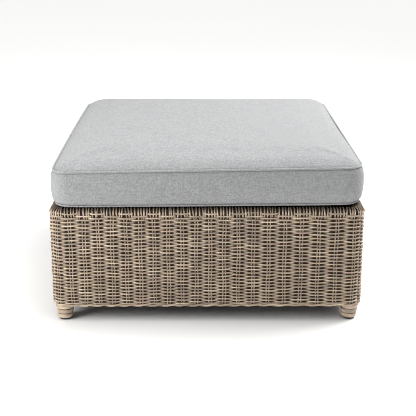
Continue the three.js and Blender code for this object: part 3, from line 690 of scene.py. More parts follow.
class WeavePattern:
    """The rows, columns and small irregularities that every side shares."""

    def __init__(self, base, weave):
        self.base = base
        self.weave = weave
        self.outline = base_outline(base)
        self.columns = column_places(base, weave)
        random = np.random.default_rng(5)
        heights = [weave.first_row - drop for drop in TOP_ROW_DROPS]
        span = heights[-1] - weave.last_row
        count = round(span / ((weave.top_pitch + weave.bottom_pitch) / 2))
        steps = np.linspace(weave.top_pitch, weave.bottom_pitch, count)
        steps *= span / steps.sum()
        heights.extend(heights[-1] - np.cumsum(steps))
        self.rows = np.array(heights)
        self.pitch = np.interp(
            self.rows, [weave.last_row, weave.first_row], [weave.bottom_pitch, weave.top_pitch])
        shape = (len(self.rows), len(self.columns) + 1)
        self.lift = random.normal(0, LIFT_SPREAD, shape)
        self.fatness = 1 + random.normal(0, WIDTH_SPREAD, shape)
        self.sway = random.normal(0, DEPTH_SPREAD, shape)
        for table in (self.lift, self.fatness, self.sway):
            table[:, -1] = table[:, 0]
        turn = 2 * np.pi
        self.waves = [
            (turns, random.uniform(0, turn), random.uniform(*WAVE_RATES), random.uniform(0, turn))
            for turns in WAVE_TURNS]

    def column_at(self, along):
        """Column number, with its fraction, at places along the outline."""
        start = self.columns[0]
        known = np.append(self.columns - start, self.outline.length)
        return np.interp(np.mod(along - start, self.outline.length), known, np.arange(len(known)))

    def between(self, table, columns):
        """Values of a table between its columns, eased from one to the next."""
        low = np.floor(columns).astype(int) % (table.shape[1] - 1)
        share = columns - np.floor(columns)
        eased = share * share * (3 - 2 * share)
        return table[:, low] * (1 - eased) + table[:, low + 1] * eased

    def drift(self, along, height):
        """Slow rise and fall of the rows, which fades out at the rim and the lower edge."""
        total = np.zeros(np.broadcast(along, height).shape)
        for turns, phase, rate, shift in self.waves:
            round_base = np.sin(2 * np.pi * turns * along / self.outline.length + phase)
            total += round_base * np.sin(rate * height + shift)
        fade_low = (height - self.base.lower_edge - LOW_FADE_START) / LOW_FADE_LENGTH
        fade_high = (self.weave.first_row + HIGH_FADE_START - height) / HIGH_FADE_LENGTH
        return self.weave.wander * WAVE_SHARE * total * np.clip(fade_low, 0, 1) * np.clip(fade_high, 0, 1)

    def lean(self, height):
        """How far the skin's face stands out at a height: the flare, drawn in again at the lower edge."""
        base = self.base
        flare = base.flare * (base.rim_top - height) / (base.rim_top - base.lower_edge)
        tuck = np.clip((base.lower_edge + TUCK_HEIGHT - height) / TUCK_HEIGHT, 0, 1)
        return flare - TUCK_DEPTH * tuck ** 2


def painted_shade_at(weave, forward, ease):
    """How deep in the weave's painted shade a strand lies."""
    return (weave.middle - ease - forward) / PAINTED_SHADE_DEPTH


def running_rows(pattern, strands, start, end):
    """The strands that run round the base, over one pair of stakes and behind the next."""
    step = 4.4 * MM
    squareness = 2.1
    first_row_swing, first_row_limit = 1.35, -0.25
    full_width, front_waist, back_width = 1.02, 0.14, 1.1
    strand_shift, painted_shade_ease = 3.7, 0.1 * MM
    weave = pattern.weave
    along = np.linspace(start, end, int(round((end - start) / step)))
    columns = pattern.column_at(along)
    number = np.arange(len(pattern.rows))
    swing = -np.cos(np.pi * (columns[None, :] + number[:, None]))
    swing = np.tanh(squareness * swing) / math.tanh(squareness)
    swing[0] = np.where(swing[0] > 0, first_row_swing * swing[0], np.maximum(swing[0], first_row_limit))
    height = pattern.rows[:, None] + pattern.between(pattern.lift, columns)
    height = height + pattern.drift(along[None, :], pattern.rows[:, None])
    forward = weave.swing * swing + pattern.between(pattern.sway, columns)
    centre, facing = pattern.outline.path(along, -weave.middle + forward + pattern.lean(height), height)
    room = -np.gradient(pattern.rows)[:, None]
    front = pattern.pitch[:, None] * (full_width - front_waist * np.maximum(swing, 0) ** 2)
    width = front * pattern.between(pattern.fatness, columns) + room * back_width * np.clip(-2 * swing, 0, 1)
    # the last value is each point's painted shade, from its depth in the weave
    strands.add(centre, facing, width, weave.strand_thickness, along + number[:, None] * strand_shift,
                number.astype(float), painted_shade_at(weave, forward, painted_shade_ease))


def upright_stakes(pattern, strands, start, end):
    """The pairs of stakes that the rows are woven round."""
    end_margin = 1.5 * MM
    foot_rise, top_drop, steps = 4.5 * MM, 15 * MM, 22
    wave, wave_rate, wave_shift = 0.8 * MM, 38, 90
    sway_spread = 0.3 * MM
    flatness, stake_painted_shade = 0.95, 0.42
    number_rate, first_number = 70, 200
    weave = pattern.weave
    shifts = [turn * pattern.outline.length for turn in (-1, 0, 1)]
    places = [column + shift for column in pattern.columns for shift in shifts]
    random = np.random.default_rng(23)
    feet = np.array([
        place + side * weave.stake_spread for place in places for side in (-1, 1)
        if start + end_margin < place + side * weave.stake_spread < end - end_margin])
    height = np.linspace(pattern.base.lower_edge + foot_rise, weave.first_row - top_drop, steps)
    sway = wave * np.sin(height[None, :] * wave_rate + feet[:, None] * wave_shift)
    sway = sway + random.normal(0, sway_spread, (len(feet), len(height)))
    along = feet[:, None] + sway
    level = np.broadcast_to(height, along.shape)
    centre, facing = pattern.outline.path(along, -weave.middle + pattern.lean(level), level)
    # the stakes get a fixed depth of painted shade
    strands.add(centre, facing, weave.stake_thickness, weave.stake_thickness * flatness, level,
                feet * number_rate + first_number, stake_painted_shade, per_row=2)


def build_woven_sides(scene):
    """Weaves each side from its running strands and its stakes."""
    pattern = WeavePattern(scene.footstool_base, scene.footstool_weave)
    # the running strands get painted shade on their undersides
    material = wicker("wicker_strand", scene.footstool_colours, painted_underside_shade=0.6)
    for place, start, end in side_ranges(pattern.outline):
        strands = StrandMesh(6)
        running_rows(pattern, strands, start, end)
        upright_stakes(pattern, strands, start, end)
        strands.piece(f"woven_{place}", material, "wicker", f"weave_{place}")


def rim_wrap_path(base, rim):
    """Profile of a strand from inside the rail, over it and down behind the first rows."""
    inner_turn, outer_turn, steps = 215, 12, 13
    rail = base.rim_top - base.rail_drop
    turn = np.radians(np.linspace(inner_turn, outer_turn, steps))
    offset = -base.rail_drop + rim.wrap_radius * np.cos(turn)
    height = rail + rim.wrap_radius * np.sin(turn)
    tail_offset = np.array([-1.7, -3.2, -5.0, -5.6, -5.6]) * MM
    tail_height = rail + np.array([-1.5, -5.0, -8.8, -12.5, -16.0]) * MM
    return np.concatenate([offset, tail_offset]), np.concatenate([height, tail_height])


def side_fillers(outline, rim, strands, start, end):
    """Two strands that run along the inner side of a side rail and close the gap to the deck."""
    steps, row_rises = 160, np.array([[0.0], [0.9]])
    wave, wave_rate, wave_shift = 0.4 * MM, 30, 900
    numbers, filler_painted_shade = [401.0, 402.0], 0.8
    along = np.linspace(start + rim.filler_end, end - rim.filler_end, steps)
    lift = row_rises * rim.filler_width
    level = rim.filler_height + lift + wave * np.sin(along[None, :] * wave_rate + lift * wave_shift)
    centre, facing = outline.path(along, -rim.filler_inset, level)
    # the fillers are darkened by painted shade
    strands.add(centre, facing, rim.filler_width, rim.wrap_thickness, along, numbers, filler_painted_shade)


def build_rim_borders(scene):
    """Strands side by side over the top rail, each a little off its place and slant."""
    place_spread, end_margin = 1.0 * MM, 2.5 * MM
    mean_slant, slant_spread, slant_pivot = 0.8, 1.8, 0.6
    curl, curl_rate, curl_shift = 0.5 * MM, 7, 300
    most_drop, width_spread = 1.5, 0.08
    turn_depth, flat_share = 4 * MM, 1.2
    painted_shade_start, painted_shade_height = 17 * MM, 13 * MM
    strand_length, first_strand, strands_per_side = 0.06, 500.0, 90
    base, rim = scene.footstool_base, scene.footstool_rim
    outline = base_outline(base)
    # painted shade: the wraps' material darkens strongly towards the rim's top
    material = wicker("wicker_wrap", scene.footstool_colours, 0.02, 0.88, (0.34, 1.0))
    offset, height = rim_wrap_path(base, rim)
    share = np.linspace(0, 1, len(offset))
    random = np.random.default_rng(31)
    for side, (place, start, end) in enumerate(side_ranges(outline)):
        count = int(round((end - start) / rim.wrap_spacing))
        along = start + (np.arange(count) + 0.5) / count * (end - start)
        along = along + random.normal(0, place_spread, count)
        along = np.clip(along, start + end_margin, end - end_margin)
        slant = random.normal(mean_slant, slant_spread, count) * MM
        path = along[:, None] + slant[:, None] * (share[None, :] - slant_pivot) * 2
        path = path + curl * np.sin(share[None, :] * curl_rate + along[:, None] * curl_shift)
        drop = random.uniform(-most_drop, most_drop, count) * MM
        level = height[None, :] + drop[:, None] * np.clip(share[None, :] * 4 - 3, 0, 1)
        centre, flat = outline.path(path, offset, level)
        rail, _ = outline.path(path, -base.rail_drop, np.full(level.shape, base.rim_top - base.rail_drop))
        below = np.clip((rail[..., 2:] - centre[..., 2:]) / turn_depth, 0, 1)
        facing = unit(unit(centre - rail) * (1 - below) + flat * below * flat_share)
        width = rim.wrap_width * random.normal(1, width_spread, count)[:, None]
        # painted shade: wraps darken towards the rim's top, where the cushion's overhang shades them
        painted_shading = np.clip((level - base.rim_top + painted_shade_start) / painted_shade_height, 0, 1)
        strands = StrandMesh(6)
        strands.add(centre, facing, width, rim.wrap_thickness, share * strand_length,
                    np.arange(count) + first_strand + strands_per_side * side, painted_shading, per_row=10)
        if place in ("left", "right"):
            side_fillers(outline, rim, strands, start, end)
        strands.piece(f"rim_wraps_{place}", material, "wicker_rim", f"rim_border_{place}")


def build_lower_borders(scene):
    """Two strands twisted about each other round the lower edge, turning over at every column."""
    step, wave, wave_rate = 3.2 * MM, 0.3 * MM, 60
    thickness, twist_depth, painted_shade_ease = 3.4 * MM, 3.4 * MM, 1.0 * MM
    numbers = [301.0, 302.0]
    base, weave, rim = scene.footstool_base, scene.footstool_weave, scene.footstool_rim
    pattern = WeavePattern(base, weave)
    material = wicker("wicker_twist", scene.footstool_colours, 0.05, 0.7)
    middle = base.lower_edge + rim.twist_width / 2 + rim.twist_rise + wave
    for place, start, end in side_ranges(pattern.outline):
        along = np.linspace(start, end, int(round((end - start) / step)))
        phase = np.pi * (pattern.column_at(along)[None, :] + np.array([[0.0], [1.0]]))
        level = middle + rim.twist_rise * np.sin(phase) + wave * np.sin(along * wave_rate)
        forward = twist_depth * np.cos(phase)
        centre, facing = pattern.outline.path(along, -weave.middle + forward + pattern.lean(level), level)
        strands = StrandMesh(8)
        strands.add(centre, facing, rim.twist_width, thickness, along, numbers,
                    # painted shade on the twist where it passes behind
                    painted_shade_at(weave, forward, painted_shade_ease))
        strands.piece(f"closing_twist_{place}", material, "wicker_border", f"bottom_border_{place}")


def build_foot_wraps(scene):
    """One broad strand wound down each foot: it lies level, and rises to the next coil on the inner side."""
    foot = scene.footstool_foot
    steps = 56 * foot.coils
    rise_share = 0.13
    wave, clearance = 0.3 * MM, 0.4 * MM
    end_sink, sink_rate = 1.2 * MM, 60
    strand_length, first_strand = 0.4, 700.0
    slope = (foot.top_radius - foot.bottom_radius) / (foot.core_top - foot.core_bottom)
    material = wicker("wicker_foot", scene.footstool_colours, -0.02, 0.0)
    for number, place in enumerate(CORNERS):
        low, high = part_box(f"foot_core_{place}")
        middle = ((low[0] + high[0]) / 2, (low[1] + high[1]) / 2)
        inward = math.atan2(-middle[1], -middle[0])
        share = np.linspace(0, 1, steps)
        turned = share * foot.coils
        rising = np.clip((np.mod(turned + 0.5, 1) - 0.5) / rise_share, -1, 1) * 0.5
        risen = np.clip(np.round(turned) - 0.5 + rising, 0, foot.coils - 1)
        angle = inward + 2 * np.pi * turned
        level = foot.lowest_coil + foot.coil_rise * risen
        level = level + wave * np.sin(3 * angle + number)
        core = foot.bottom_radius + slope * (level - foot.core_bottom)
        reach = core + foot.strand_thickness / 2 + clearance
        reach = reach - end_sink * np.exp(-np.minimum(share, 1 - share) * sink_rate)
        centre = np.stack([
            middle[0] + reach * np.cos(angle), middle[1] + reach * np.sin(angle), level], axis=-1)[None]
        facing = unit(np.stack([np.cos(angle), np.sin(angle), np.full(steps, -slope)], axis=-1))[None]
        strands = StrandMesh(10)
        strands.add(centre, facing, foot.strand_width, foot.strand_thickness, share * strand_length,
                    first_strand + number, 0.0)
        strands.piece(f"foot_winding_{place}", material, "foot_strand", f"foot_wrap_{place}")


def dress_nodes(material, names):
    """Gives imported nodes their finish."""
    for name in names:
        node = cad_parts[name]
        node.data.materials.clear()
        node.data.materials.append(material)


def dress_frame(scene):
    """Gives the tubes, slats, foot cores and glides their finishes."""
    colours = scene.footstool_colours
    tubes = [f"{part}_{place}" for part in ("top_rail", "bottom_rail", "upright") for place in SIDES]
    tubes += [f"post_{place}" for place in CORNERS]
    tubes += [f"cross_bar_{number}" for number in range(1, 5)]
    slats = [f"slat_{number}" for number in range(1, 6)]
    dress_nodes(powder_coat("tube_coat", colours.coat), tubes)
    dress_nodes(powder_coat("slat_coat", colours.slat, 0.5), slats)
    dress_nodes(moulded("foot_plastic", colours.foot, 0.55), [f"foot_core_{c}" for c in CORNERS])
    dress_nodes(moulded("glide_plastic", colours.glide, 0.5), [f"glide_{c}" for c in CORNERS])


# distance over which the cushion's corners fade into its sides, and what they do to the seams and crown
CORNER_FADE = 42 * MM
CORNER_SEAM_LIFT = 3.0 * MM
CORNER_CROWN_DROP = 0.26
CORNER_CROWN_REACH = 0.95


class CushionShape:
    """The cushion's outlines, seams and crown."""

    def __init__(self, cushion):
        self.sizes = cushion
        self.outline = RoundedOutline(cushion.half_width, cushion.half_depth, cushion.corner_radius)

    def corner_share(self, x, y):
        """1 at the corners, fading along the sides."""
        gap_x = self.sizes.half_width - np.abs(x)
        gap_y = self.sizes.half_depth - np.abs(y)
        return np.exp(-np.maximum(gap_x, gap_y) / CORNER_FADE)

    def tilt(self, x, y):
        """1 at the front right corner and -1 at the front left one, which dips only near the front."""
        front = np.clip(0.5 - y / (2 * self.sizes.half_depth), 0, 1)
        return (np.maximum(x, 0) * front + np.minimum(x, 0) * front ** 3) / self.sizes.half_width

    def top_seam(self, x, y):
        sizes = self.sizes
        left = np.clip(-x / sizes.half_width, 0, 1) ** 3
        arch = sizes.left_arch * left * (1 - (y / sizes.half_depth) ** 2)
        return sizes.top_seam + sizes.top_tilt * self.tilt(x, y) + arch

    def bottom_seam(self, x, y):
        sizes = self.sizes
        lift = CORNER_SEAM_LIFT * self.corner_share(x, y)
        return sizes.bottom_seam + sizes.bottom_tilt * self.tilt(x, y) + lift

    def edge_distance(self, x, y):
        """Distance inwards from the fullest outline."""
        sizes = self.sizes
        over_x = np.abs(x) - (sizes.half_width - sizes.corner_radius)
        over_y = np.abs(y) - (sizes.half_depth - sizes.corner_radius)
        outside = np.hypot(np.maximum(over_x, 0), np.maximum(over_y, 0))
        return sizes.corner_radius - outside - np.minimum(np.maximum(over_x, over_y), 0)

    def crown(self, x, y):
        """Height of the top panel over the plan."""
        sizes = self.sizes
        inward = np.maximum(self.edge_distance(x, y) - sizes.top_inset, 0)
        near_corner = self.corner_share(x * CORNER_CROWN_REACH, y * CORNER_CROWN_REACH)
        low_corner = 1 - CORNER_CROWN_DROP * near_corner
        rise = sizes.crown * (1 - np.exp(-inward / sizes.roll)) * low_corner
        dome = sizes.dome * (1 - (x / sizes.half_width) ** 4) * (1 - (y / sizes.half_depth) ** 8)
        return self.top_seam(x, y) + rise + dome

    def band_inset(self, share):
        sizes = self.sizes
        seam = sizes.bottom_inset + (sizes.top_inset - sizes.bottom_inset) * share
        return seam - sizes.bulge * np.sin(np.pi * share ** 0.75) ** 0.5

    def seam_gap(self, points):
        """Distance of each point from the nearer seam."""
        x, y, z = points.T
        inset = self.edge_distance(x, y)
        from_top = np.hypot(inset - self.sizes.top_inset, z - self.top_seam(x, y))
        from_bottom = np.hypot(inset - self.sizes.bottom_inset, z - self.bottom_seam(x, y))
        return np.minimum(from_top, from_bottom)


# rings of the cushion's first mesh: how far out they lie on the crown and on the underside
CROWN_SCALES = (0.03, 0.2, 0.4, 0.6, 0.75, 0.84, 0.9, 0.935, 0.96, 0.975, 0.988, 1.0)
UNDERSIDE_SCALES = (0.985, 0.96, 0.6, 0.3, 0.03)
UNDERSIDE_FLAT_SCALE, UNDERSIDE_ROLL_SCALE = 0.96, 0.04
RING_POINTS, BAND_RINGS = 260, 15


def cushion_start(shape):
    """Closed mesh of the cushion before it swells, as rings from the crown down to the underside."""
    sizes = shape.sizes
    count = RING_POINTS
    along = np.arange(count) / count * shape.outline.length
    rings = []
    edge, _ = shape.outline.place(along, -sizes.top_inset)
    for scale in CROWN_SCALES:
        plan = edge * scale
        rings.append(np.column_stack([plan, shape.crown(plan[:, 0], plan[:, 1])]))
    for share in np.linspace(1, 0, BAND_RINGS)[1:]:
        plan, _ = shape.outline.place(along, -shape.band_inset(share))
        low = shape.bottom_seam(plan[:, 0], plan[:, 1])
        high = shape.top_seam(plan[:, 0], plan[:, 1])
        rings.append(np.column_stack([plan, low + (high - low) * share]))
    edge, _ = shape.outline.place(along, -sizes.bottom_inset)
    for scale in UNDERSIDE_SCALES:
        plan = edge * scale
        seam = shape.bottom_seam(plan[:, 0], plan[:, 1])
        share = max(0.0, (scale - UNDERSIDE_FLAT_SCALE) / UNDERSIDE_ROLL_SCALE)
        rings.append(np.column_stack([plan, sizes.bottom + (seam - sizes.bottom) * share]))
    last = (len(rings) - 1) * count
    faces = []
    for low in range(0, last, count):
        high = low + count
        faces += [(low + i, high + i, high + (i + 1) % count, low + (i + 1) % count) for i in range(count)]
    faces.append(tuple(range(count)))
    faces.append(tuple(reversed(range(last, last + count))))
    return surface("cushion_cover", np.concatenate(rings), faces, smooth=False)


def applied(piece, kind, **settings):
    """Puts one modifier on a piece and applies it."""
    modifier = piece.modifiers.new(kind.title(), kind)
    for name, value in settings.items():
        setattr(modifier, name, value)
    bpy.context.view_layer.objects.active = piece
    with bpy.context.temp_override(object=piece, active_object=piece):
        bpy.ops.object.modifier_apply(modifier=modifier.name)


def read_points(mesh, field="co"):
    """The places of a mesh's points, or with "normal" the ways that they face."""
    flat = np.empty(len(mesh.vertices) * 3, dtype=np.float32)
    mesh.vertices.foreach_get(field, flat)
    return flat.reshape(-1, 3).astype(float)


def write_points(mesh, points):
    mesh.vertices.foreach_set("co", points.astype(np.float32).ravel())


SWELL_STEPS = 20
CLOTH_SETTINGS = {
    "quality": 4,
    "mass": 0.3,
    "tension_stiffness": 12,
    "compression_stiffness": 12,
    "shear_stiffness": 5,
    "bending_stiffness": 0.4,
    "use_pressure": True,
    "uniform_pressure_force": 2.5,
}


def swollen(piece, seam_share):
    """Points of the piece after its cloth has been inflated, with its seams held."""
    pins = piece.vertex_groups.new(name="held")
    for index in np.nonzero(seam_share > 0.02)[0]:
        pins.add([int(index)], float(min(1.0, seam_share[index])), "REPLACE")
    modifier = piece.modifiers.new("Swell", "CLOTH")
    for name, value in CLOTH_SETTINGS.items():
        setattr(modifier.settings, name, value)
    modifier.settings.vertex_group_mass = pins.name
    modifier.settings.effector_weights.gravity = 0
    modifier.collision_settings.use_collision = False
    scene = bpy.context.scene
    for moment in range(1, SWELL_STEPS + 1):
        scene.frame_set(moment)
    worn = piece.evaluated_get(bpy.context.evaluated_depsgraph_get())
    points = read_points(worn.data)
    scene.frame_set(1)
    piece.modifiers.remove(modifier)
    piece.vertex_groups.remove(pins)
    return points


def cut_zip_slot(piece, low, high):
    """Cuts a clean slot in the back of the band, and turns its edge inwards."""
    band_depth, lip_depth = 12 * MM, 5 * MM
    mesh = bmesh.new()
    mesh.from_mesh(piece.data)
    back = high[1] - band_depth
    for axis, value in ((0, low[0]), (0, high[0]), (2, low[2]), (2, high[2])):
        origin = [0.0, 0.0, 0.0]
        origin[axis] = value
        normal = [0.0, 0.0, 0.0]
        normal[axis] = 1.0
        faces = [face for face in mesh.faces if face.calc_center_median().y > back]
        edges = list(dict.fromkeys(edge for face in faces for edge in face.edges))
        points = list(dict.fromkeys(point for face in faces for point in face.verts))
        bmesh.ops.bisect_plane(mesh, geom=faces + edges + points, plane_co=origin, plane_no=normal)
    doomed = []
    for face in mesh.faces:
        centre = face.calc_center_median()
        if centre.y > back and low[0] < centre.x < high[0] and low[2] < centre.z < high[2]:
            doomed.append(face)
    bmesh.ops.delete(mesh, geom=doomed, context="FACES")
    rim = [edge for edge in mesh.edges if edge.is_boundary]
    turned = bmesh.ops.extrude_edge_only(mesh, edges=rim)
    for item in turned["geom"]:
        if isinstance(item, bmesh.types.BMVert):
            item.co.y -= lip_depth
    mesh.to_mesh(piece.data)
    mesh.free()


def sewn_relief(shape, points):
    """Puckers and groove along the seams, and the broad unevenness of the filling."""
    pucker_height, pucker_reach = 0.45 * MM, 13 * MM
    fine_puckers, stray, stray_turns = 150, 3, 17
    coarse_share, coarse_puckers = 0.6, 89
    groove_depth, groove_reach = 2.2 * MM, 4.5 * MM
    broad_height, broad_rates, flat_rim = 0.9 * MM, (11, 9), 3 * MM
    gap = shape.seam_gap(points)
    angle = np.arctan2(points[:, 1], points[:, 0])
    fine = np.sin(angle * fine_puckers + stray * np.sin(angle * stray_turns))
    coarse = np.sin(angle * coarse_puckers + 1.0)
    pucker = pucker_height * np.exp(-gap / pucker_reach) * (fine + coarse_share * coarse)
    groove = -groove_depth * np.exp(-(gap / groove_reach) ** 2)
    across = np.sin(points[:, 0] * broad_rates[0] + 0.6)
    broad = broad_height * across * np.sin(points[:, 1] * broad_rates[1] + 1.1)
    broad[points[:, 2] < shape.sizes.bottom + flat_rim] = 0
    return pucker + groove + broad


def build_cushion_cover(scene):
    """Rounds the start mesh, inflates it with its seams held, and adds the sewn relief and the zip's slot."""
    voxel = 5.5 * MM
    rest_height, held_width, held_most, sink = 2 * MM, 7 * MM, 1.3, 0.2 * MM
    shape = CushionShape(scene.footstool_cushion)
    sizes = shape.sizes
    piece = bpy.data.objects.new("cushion_cover", cushion_start(shape))
    scene.collection.objects.link(piece)
    applied(piece, "REMESH", mode="VOXEL", voxel_size=voxel, adaptivity=0.0)
    start = read_points(piece.data)
    held = np.clip(held_most - shape.seam_gap(start) / held_width, 0, 1)
    held[start[:, 2] < sizes.bottom + rest_height] = 1.0
    points = start.copy()
    moved = swollen(piece, held) - start
    length = np.linalg.norm(moved, axis=1)
    most = sizes.puff * (1 - np.exp(-length / sizes.puff))
    points += moved * (most / np.maximum(length, 1e-9))[:, None]
    write_points(piece.data, points)
    applied(piece, "SMOOTH", factor=0.5, iterations=1)
    points = read_points(piece.data)
    piece.data.update()
    points += read_points(piece.data, "normal") * sewn_relief(shape, points)[:, None]
    points[:, 2] = np.maximum(points[:, 2], sizes.bottom - sink)
    write_points(piece.data, points)
    cut_zip_slot(piece, *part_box("zip_tape"))
    applied(piece, "SUBSURF", levels=1)
    piece.data.polygons.foreach_set("use_smooth", np.ones(len(piece.data.polygons), dtype=bool))
    piece.data.materials.append(cloth("cushion_canvas", scene.footstool_colours))
    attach(piece, "cushion")
    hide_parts("cover_top", "cover_band", "cover_bottom", "foam_core")


def piping_piece(name, shape, inset, height_at, material, node):
    """Covered cord along a seam: a tube with the slight waists that its stitches leave."""
    steps, sides = 900, 10
    waist, stitch = 0.025, 9 * MM
    along = np.arange(steps) / steps * shape.outline.length
    plan, _ = shape.outline.place(along, -inset)
    centre, facing = shape.outline.path(along, -inset, height_at(plan[:, 0], plan[:, 1]))
    turn = 2 * np.pi * np.arange(sides) / sides
    radius = shape.sizes.piping_radius * (1 + waist * np.sin(along * 2 * np.pi / stitch))
    upward = np.array([0, 0, 1.0])
    ring = centre[:, None, :] + radius[:, None, None] * (
        facing[:, None, :] * np.cos(turn)[None, :, None] + upward * np.sin(turn)[None, :, None])
    first = np.arange(steps)[:, None] * sides
    following = (np.arange(steps)[:, None] + 1) % steps * sides
    side = np.arange(sides)[None, :]
    beside = (side + 1) % sides
    quads = np.stack([first + side, following + side, following + beside, first + beside], axis=-1)
    mesh = surface(name, ring, quads.reshape(-1, 4).tolist())
    piece = finished(name, mesh, material, "cushion", "piping", node)


def build_piping(scene):
    """Lays a covered cord in the upper seam and one in the lower."""
    shape = CushionShape(scene.footstool_cushion)
    sizes = shape.sizes
    # painted light: the piping is a paler copy of the cover's cloth, for the light on its round top
    material = cloth("piping_canvas_painted_light", scene.footstool_colours, 1.06, 0.9 * MM)
    piping_piece("seam_cord_top", shape, sizes.top_inset, shape.top_seam, material, "piping_top")
    piping_piece("seam_cord_bottom", shape, sizes.bottom_inset, shape.bottom_seam, material, "piping_bottom")


BOX_FACES = ((0, 1, 3, 2), (4, 6, 7, 5), (0, 4, 5, 1), (2, 3, 7, 6), (0, 2, 6, 4), (1, 5, 7, 3))


def build_zip(scene):
    """Teeth, upper and lower by turns; tape, slider and pull keep their solids."""
    pitch, half_tooth = 2.2 * MM, 0.75 * MM
    short_reach, long_reach = 0.9 * MM, 2.5 * MM
    colours = scene.footstool_colours
    low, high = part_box("zip_chain")
    middle = (low[2] + high[2]) / 2
    points, faces = [], []
    for number in range(int((high[0] - low[0]) / pitch)):
        centre = low[0] + (number + 0.5) * pitch
        down, up = (long_reach, short_reach) if number % 2 else (short_reach, long_reach)
        first = len(points)
        points += [
            (x, y, z) for x in (centre - half_tooth, centre + half_tooth) for y in (low[1], high[1])
            for z in (middle - down, middle + up)]
        faces += [tuple(first + corner for corner in face) for face in BOX_FACES]
    mesh = surface("zip_teeth", points, faces, smooth=False)
    plastic = moulded("zip_plastic", colours.teeth, 0.4)
    piece = finished("zip_teeth", mesh, plastic, "cushion", "zip_chain", "zip_chain")
    applied(piece, "BEVEL", width=0.25 * MM, segments=2)
    dress_nodes(tape_cloth("zip_tape_cloth", colours.tape), ["zip_tape"])
    dress_nodes(cast_metal("zip_casting", colours.metal), ["zip_slider", "zip_pull"])


def aimed_light(name, kind, place, aim, power, **settings):
    """Adds a light that looks at a point and isn't seen itself."""
    light = bpy.data.lights.new(name, kind)
    light.energy = power
    for setting, value in settings.items():
        setattr(light, setting, value)
    lamp = bpy.data.objects.new(name, light)
    bpy.context.scene.collection.objects.link(lamp)
    lamp.visible_camera = False
    lamp.location = place
    x, y, z = np.array(aim, dtype=float) - np.array(place, dtype=float)
    lamp.rotation_euler = (math.atan2(math.hypot(x, y), -z), 0, math.atan2(y, x) - math.pi / 2)


def build_stage(scene):
    """Adds the camera of the photograph's view, the sweep and the lights."""
    studio = scene.footstool_studio
    reach = 25.0
    camera_data = bpy.data.cameras.new("camera")
    camera_data.sensor_width = 36
    camera_data.sensor_fit = "HORIZONTAL"
    camera_data.lens = studio.lens
    camera_data.clip_end = 60
    camera = bpy.data.objects.new("camera", camera_data)
    scene.collection.objects.link(camera)
    camera.location = (studio.camera_x, studio.camera_y, studio.camera_z)
    camera.rotation_euler = (math.pi / 2 - studio.pitch, 0, -studio.yaw)
    scene.camera = camera
    corners = [(-reach, -reach, 0), (reach, -reach, 0), (reach, reach, 0), (-reach, reach, 0)]
    mesh = surface("sweep", corners, [(0, 1, 2, 3)], smooth=False)
    floor = bpy.data.objects.new("sweep", mesh)
    scene.collection.objects.link(floor)
    mesh.materials.append(sweep_floor("sweep_paint", studio.floor))
    world = bpy.data.worlds.new("studio")
    world.use_nodes = True
    world.node_tree.nodes["Background"].inputs["Color"].default_value = (1.0, 1.0, 1.0, 1.0)
    world.node_tree.nodes["Background"].inputs["Strength"].default_value = studio.sky
    scene.world = world
    scene.view_settings.view_transform = "Standard"
    scene.cycles.filter_width = 1.0
    aimed_light("ceiling", "SUN", (0.5, 0.45, 1.6), (0, 0, 0), studio.ceiling, angle=math.radians(80))
    aimed_light("right_softbox", "AREA", (1.5, 0.5, 2.1), (0, 0, 0.3), studio.right_light, size=1.5)
    aimed_light("left_softbox", "AREA", (-1.5, -1.1, 0.85), (-0.1, -0.2, 0.2), studio.left_light, size=0.8)


class FOOTSTOOL_OT_stage(bpy.types.Operator):
    """Adds the camera, lights and floor"""
    bl_idname = "footstool.stage"
    bl_label = "Stage"
    bl_options = {"REGISTER", "UNDO"}

    def execute(self, context):
        build_stage(context.scene)
        return {"FINISHED"}


class FOOTSTOOL_OT_woven_sides(bpy.types.Operator):
    """Weaves the four sides"""
    bl_idname = "footstool.woven_sides"
    bl_label = "Woven sides"
    bl_options = {"REGISTER", "UNDO"}

    def execute(self, context):
        build_woven_sides(context.scene)
        return {"FINISHED"}


class FOOTSTOOL_OT_rim_borders(bpy.types.Operator):
    """Wraps strands over the top rail"""
    bl_idname = "footstool.rim_borders"
    bl_label = "Rim borders"
    bl_options = {"REGISTER", "UNDO"}

    def execute(self, context):
        build_rim_borders(context.scene)
        return {"FINISHED"}


class FOOTSTOOL_OT_lower_borders(bpy.types.Operator):
    """Closes the lower edge with a twist of two strands"""
    bl_idname = "footstool.lower_borders"
    bl_label = "Lower borders"
    bl_options = {"REGISTER", "UNDO"}

    def execute(self, context):
        build_lower_borders(context.scene)
        return {"FINISHED"}


class FOOTSTOOL_OT_foot_wraps(bpy.types.Operator):
    """Winds a strand round each foot"""
    bl_idname = "footstool.foot_wraps"
    bl_label = "Foot windings"
    bl_options = {"REGISTER", "UNDO"}

    def execute(self, context):
        build_foot_wraps(context.scene)
        return {"FINISHED"}


class FOOTSTOOL_OT_frame(bpy.types.Operator):
    """Coats the tubes, slats, foot cores and glides"""
    bl_idname = "footstool.frame"
    bl_label = "Frame finishes"
    bl_options = {"REGISTER", "UNDO"}

    def execute(self, context):
        dress_frame(context.scene)
        return {"FINISHED"}


class FOOTSTOOL_OT_cushion(bpy.types.Operator):
    """Sews and fills the cushion"""
    bl_idname = "footstool.cushion"
    bl_label = "Cushion"
    bl_options = {"REGISTER", "UNDO"}

    def execute(self, context):
        build_cushion_cover(context.scene)
        return {"FINISHED"}


class FOOTSTOOL_OT_piping(bpy.types.Operator):
    """Lays the covered cord in the seams"""
    bl_idname = "footstool.piping"
    bl_label = "Piping"
    bl_options = {"REGISTER", "UNDO"}

    def execute(self, context):
        build_piping(context.scene)
        return {"FINISHED"}


class FOOTSTOOL_OT_zip(bpy.types.Operator):
    """Adds the zip's teeth and finishes"""
    bl_idname = "footstool.zip"
    bl_label = "Zip"
    bl_options = {"REGISTER", "UNDO"}

    def execute(self, context):
        build_zip(context.scene)
        return {"FINISHED"}


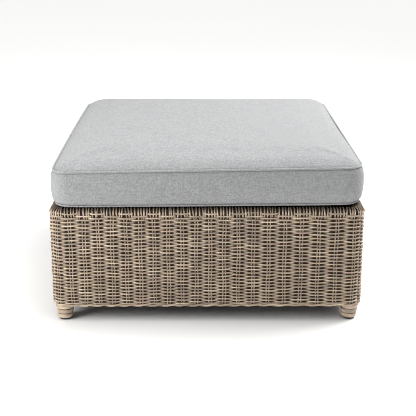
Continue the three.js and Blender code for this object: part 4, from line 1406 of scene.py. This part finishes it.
OPERATORS = (
    FOOTSTOOL_OT_stage,
    FOOTSTOOL_OT_woven_sides,
    FOOTSTOOL_OT_rim_borders,
    FOOTSTOOL_OT_lower_borders,
    FOOTSTOOL_OT_foot_wraps,
    FOOTSTOOL_OT_frame,
    FOOTSTOOL_OT_cushion,
    FOOTSTOOL_OT_piping,
    FOOTSTOOL_OT_zip,
)

SETTINGS = {
    "footstool_base": BaseSizes,
    "footstool_weave": WeaveSizes,
    "footstool_rim": RimSizes,
    "footstool_foot": FootSizes,
    "footstool_cushion": CushionSizes,
    "footstool_colours": FinishColours,
    "footstool_studio": StudioSettings,
}


class FOOTSTOOL_PT_parts(bpy.types.Panel):
    """Lists the footstool's parts and their sizes"""
    bl_idname = "FOOTSTOOL_PT_parts"
    bl_label = "Footstool"
    bl_space_type = "VIEW_3D"
    bl_region_type = "UI"
    bl_category = "Footstool"

    def draw(self, context):
        layout = self.layout
        for operator in OPERATORS:
            layout.operator(operator.bl_idname)
        for name in SETTINGS:
            box = layout.box()
            group = getattr(context.scene, name)
            for field in group.bl_rna.properties:
                if not field.is_readonly and field.identifier != "name":
                    box.prop(group, field.identifier)


def register():
    for name, group in SETTINGS.items():
        bpy.utils.register_class(group)
        setattr(bpy.types.Scene, name, PointerProperty(type=group))
    for operator in OPERATORS:
        bpy.utils.register_class(operator)
    bpy.utils.register_class(FOOTSTOOL_PT_parts)


def unregister():
    bpy.utils.unregister_class(FOOTSTOOL_PT_parts)
    for operator in reversed(OPERATORS):
        bpy.utils.unregister_class(operator)
    for name, group in reversed(SETTINGS.items()):
        delattr(bpy.types.Scene, name)
        bpy.utils.unregister_class(group)


def main():
    register()
    bpy.ops.footstool.stage()
    bpy.ops.footstool.woven_sides()
    bpy.ops.footstool.rim_borders()
    bpy.ops.footstool.lower_borders()
    bpy.ops.footstool.foot_wraps()
    bpy.ops.footstool.frame()
    bpy.ops.footstool.cushion()
    bpy.ops.footstool.piping()
    bpy.ops.footstool.zip()


if __name__ == "__main__":
    main()
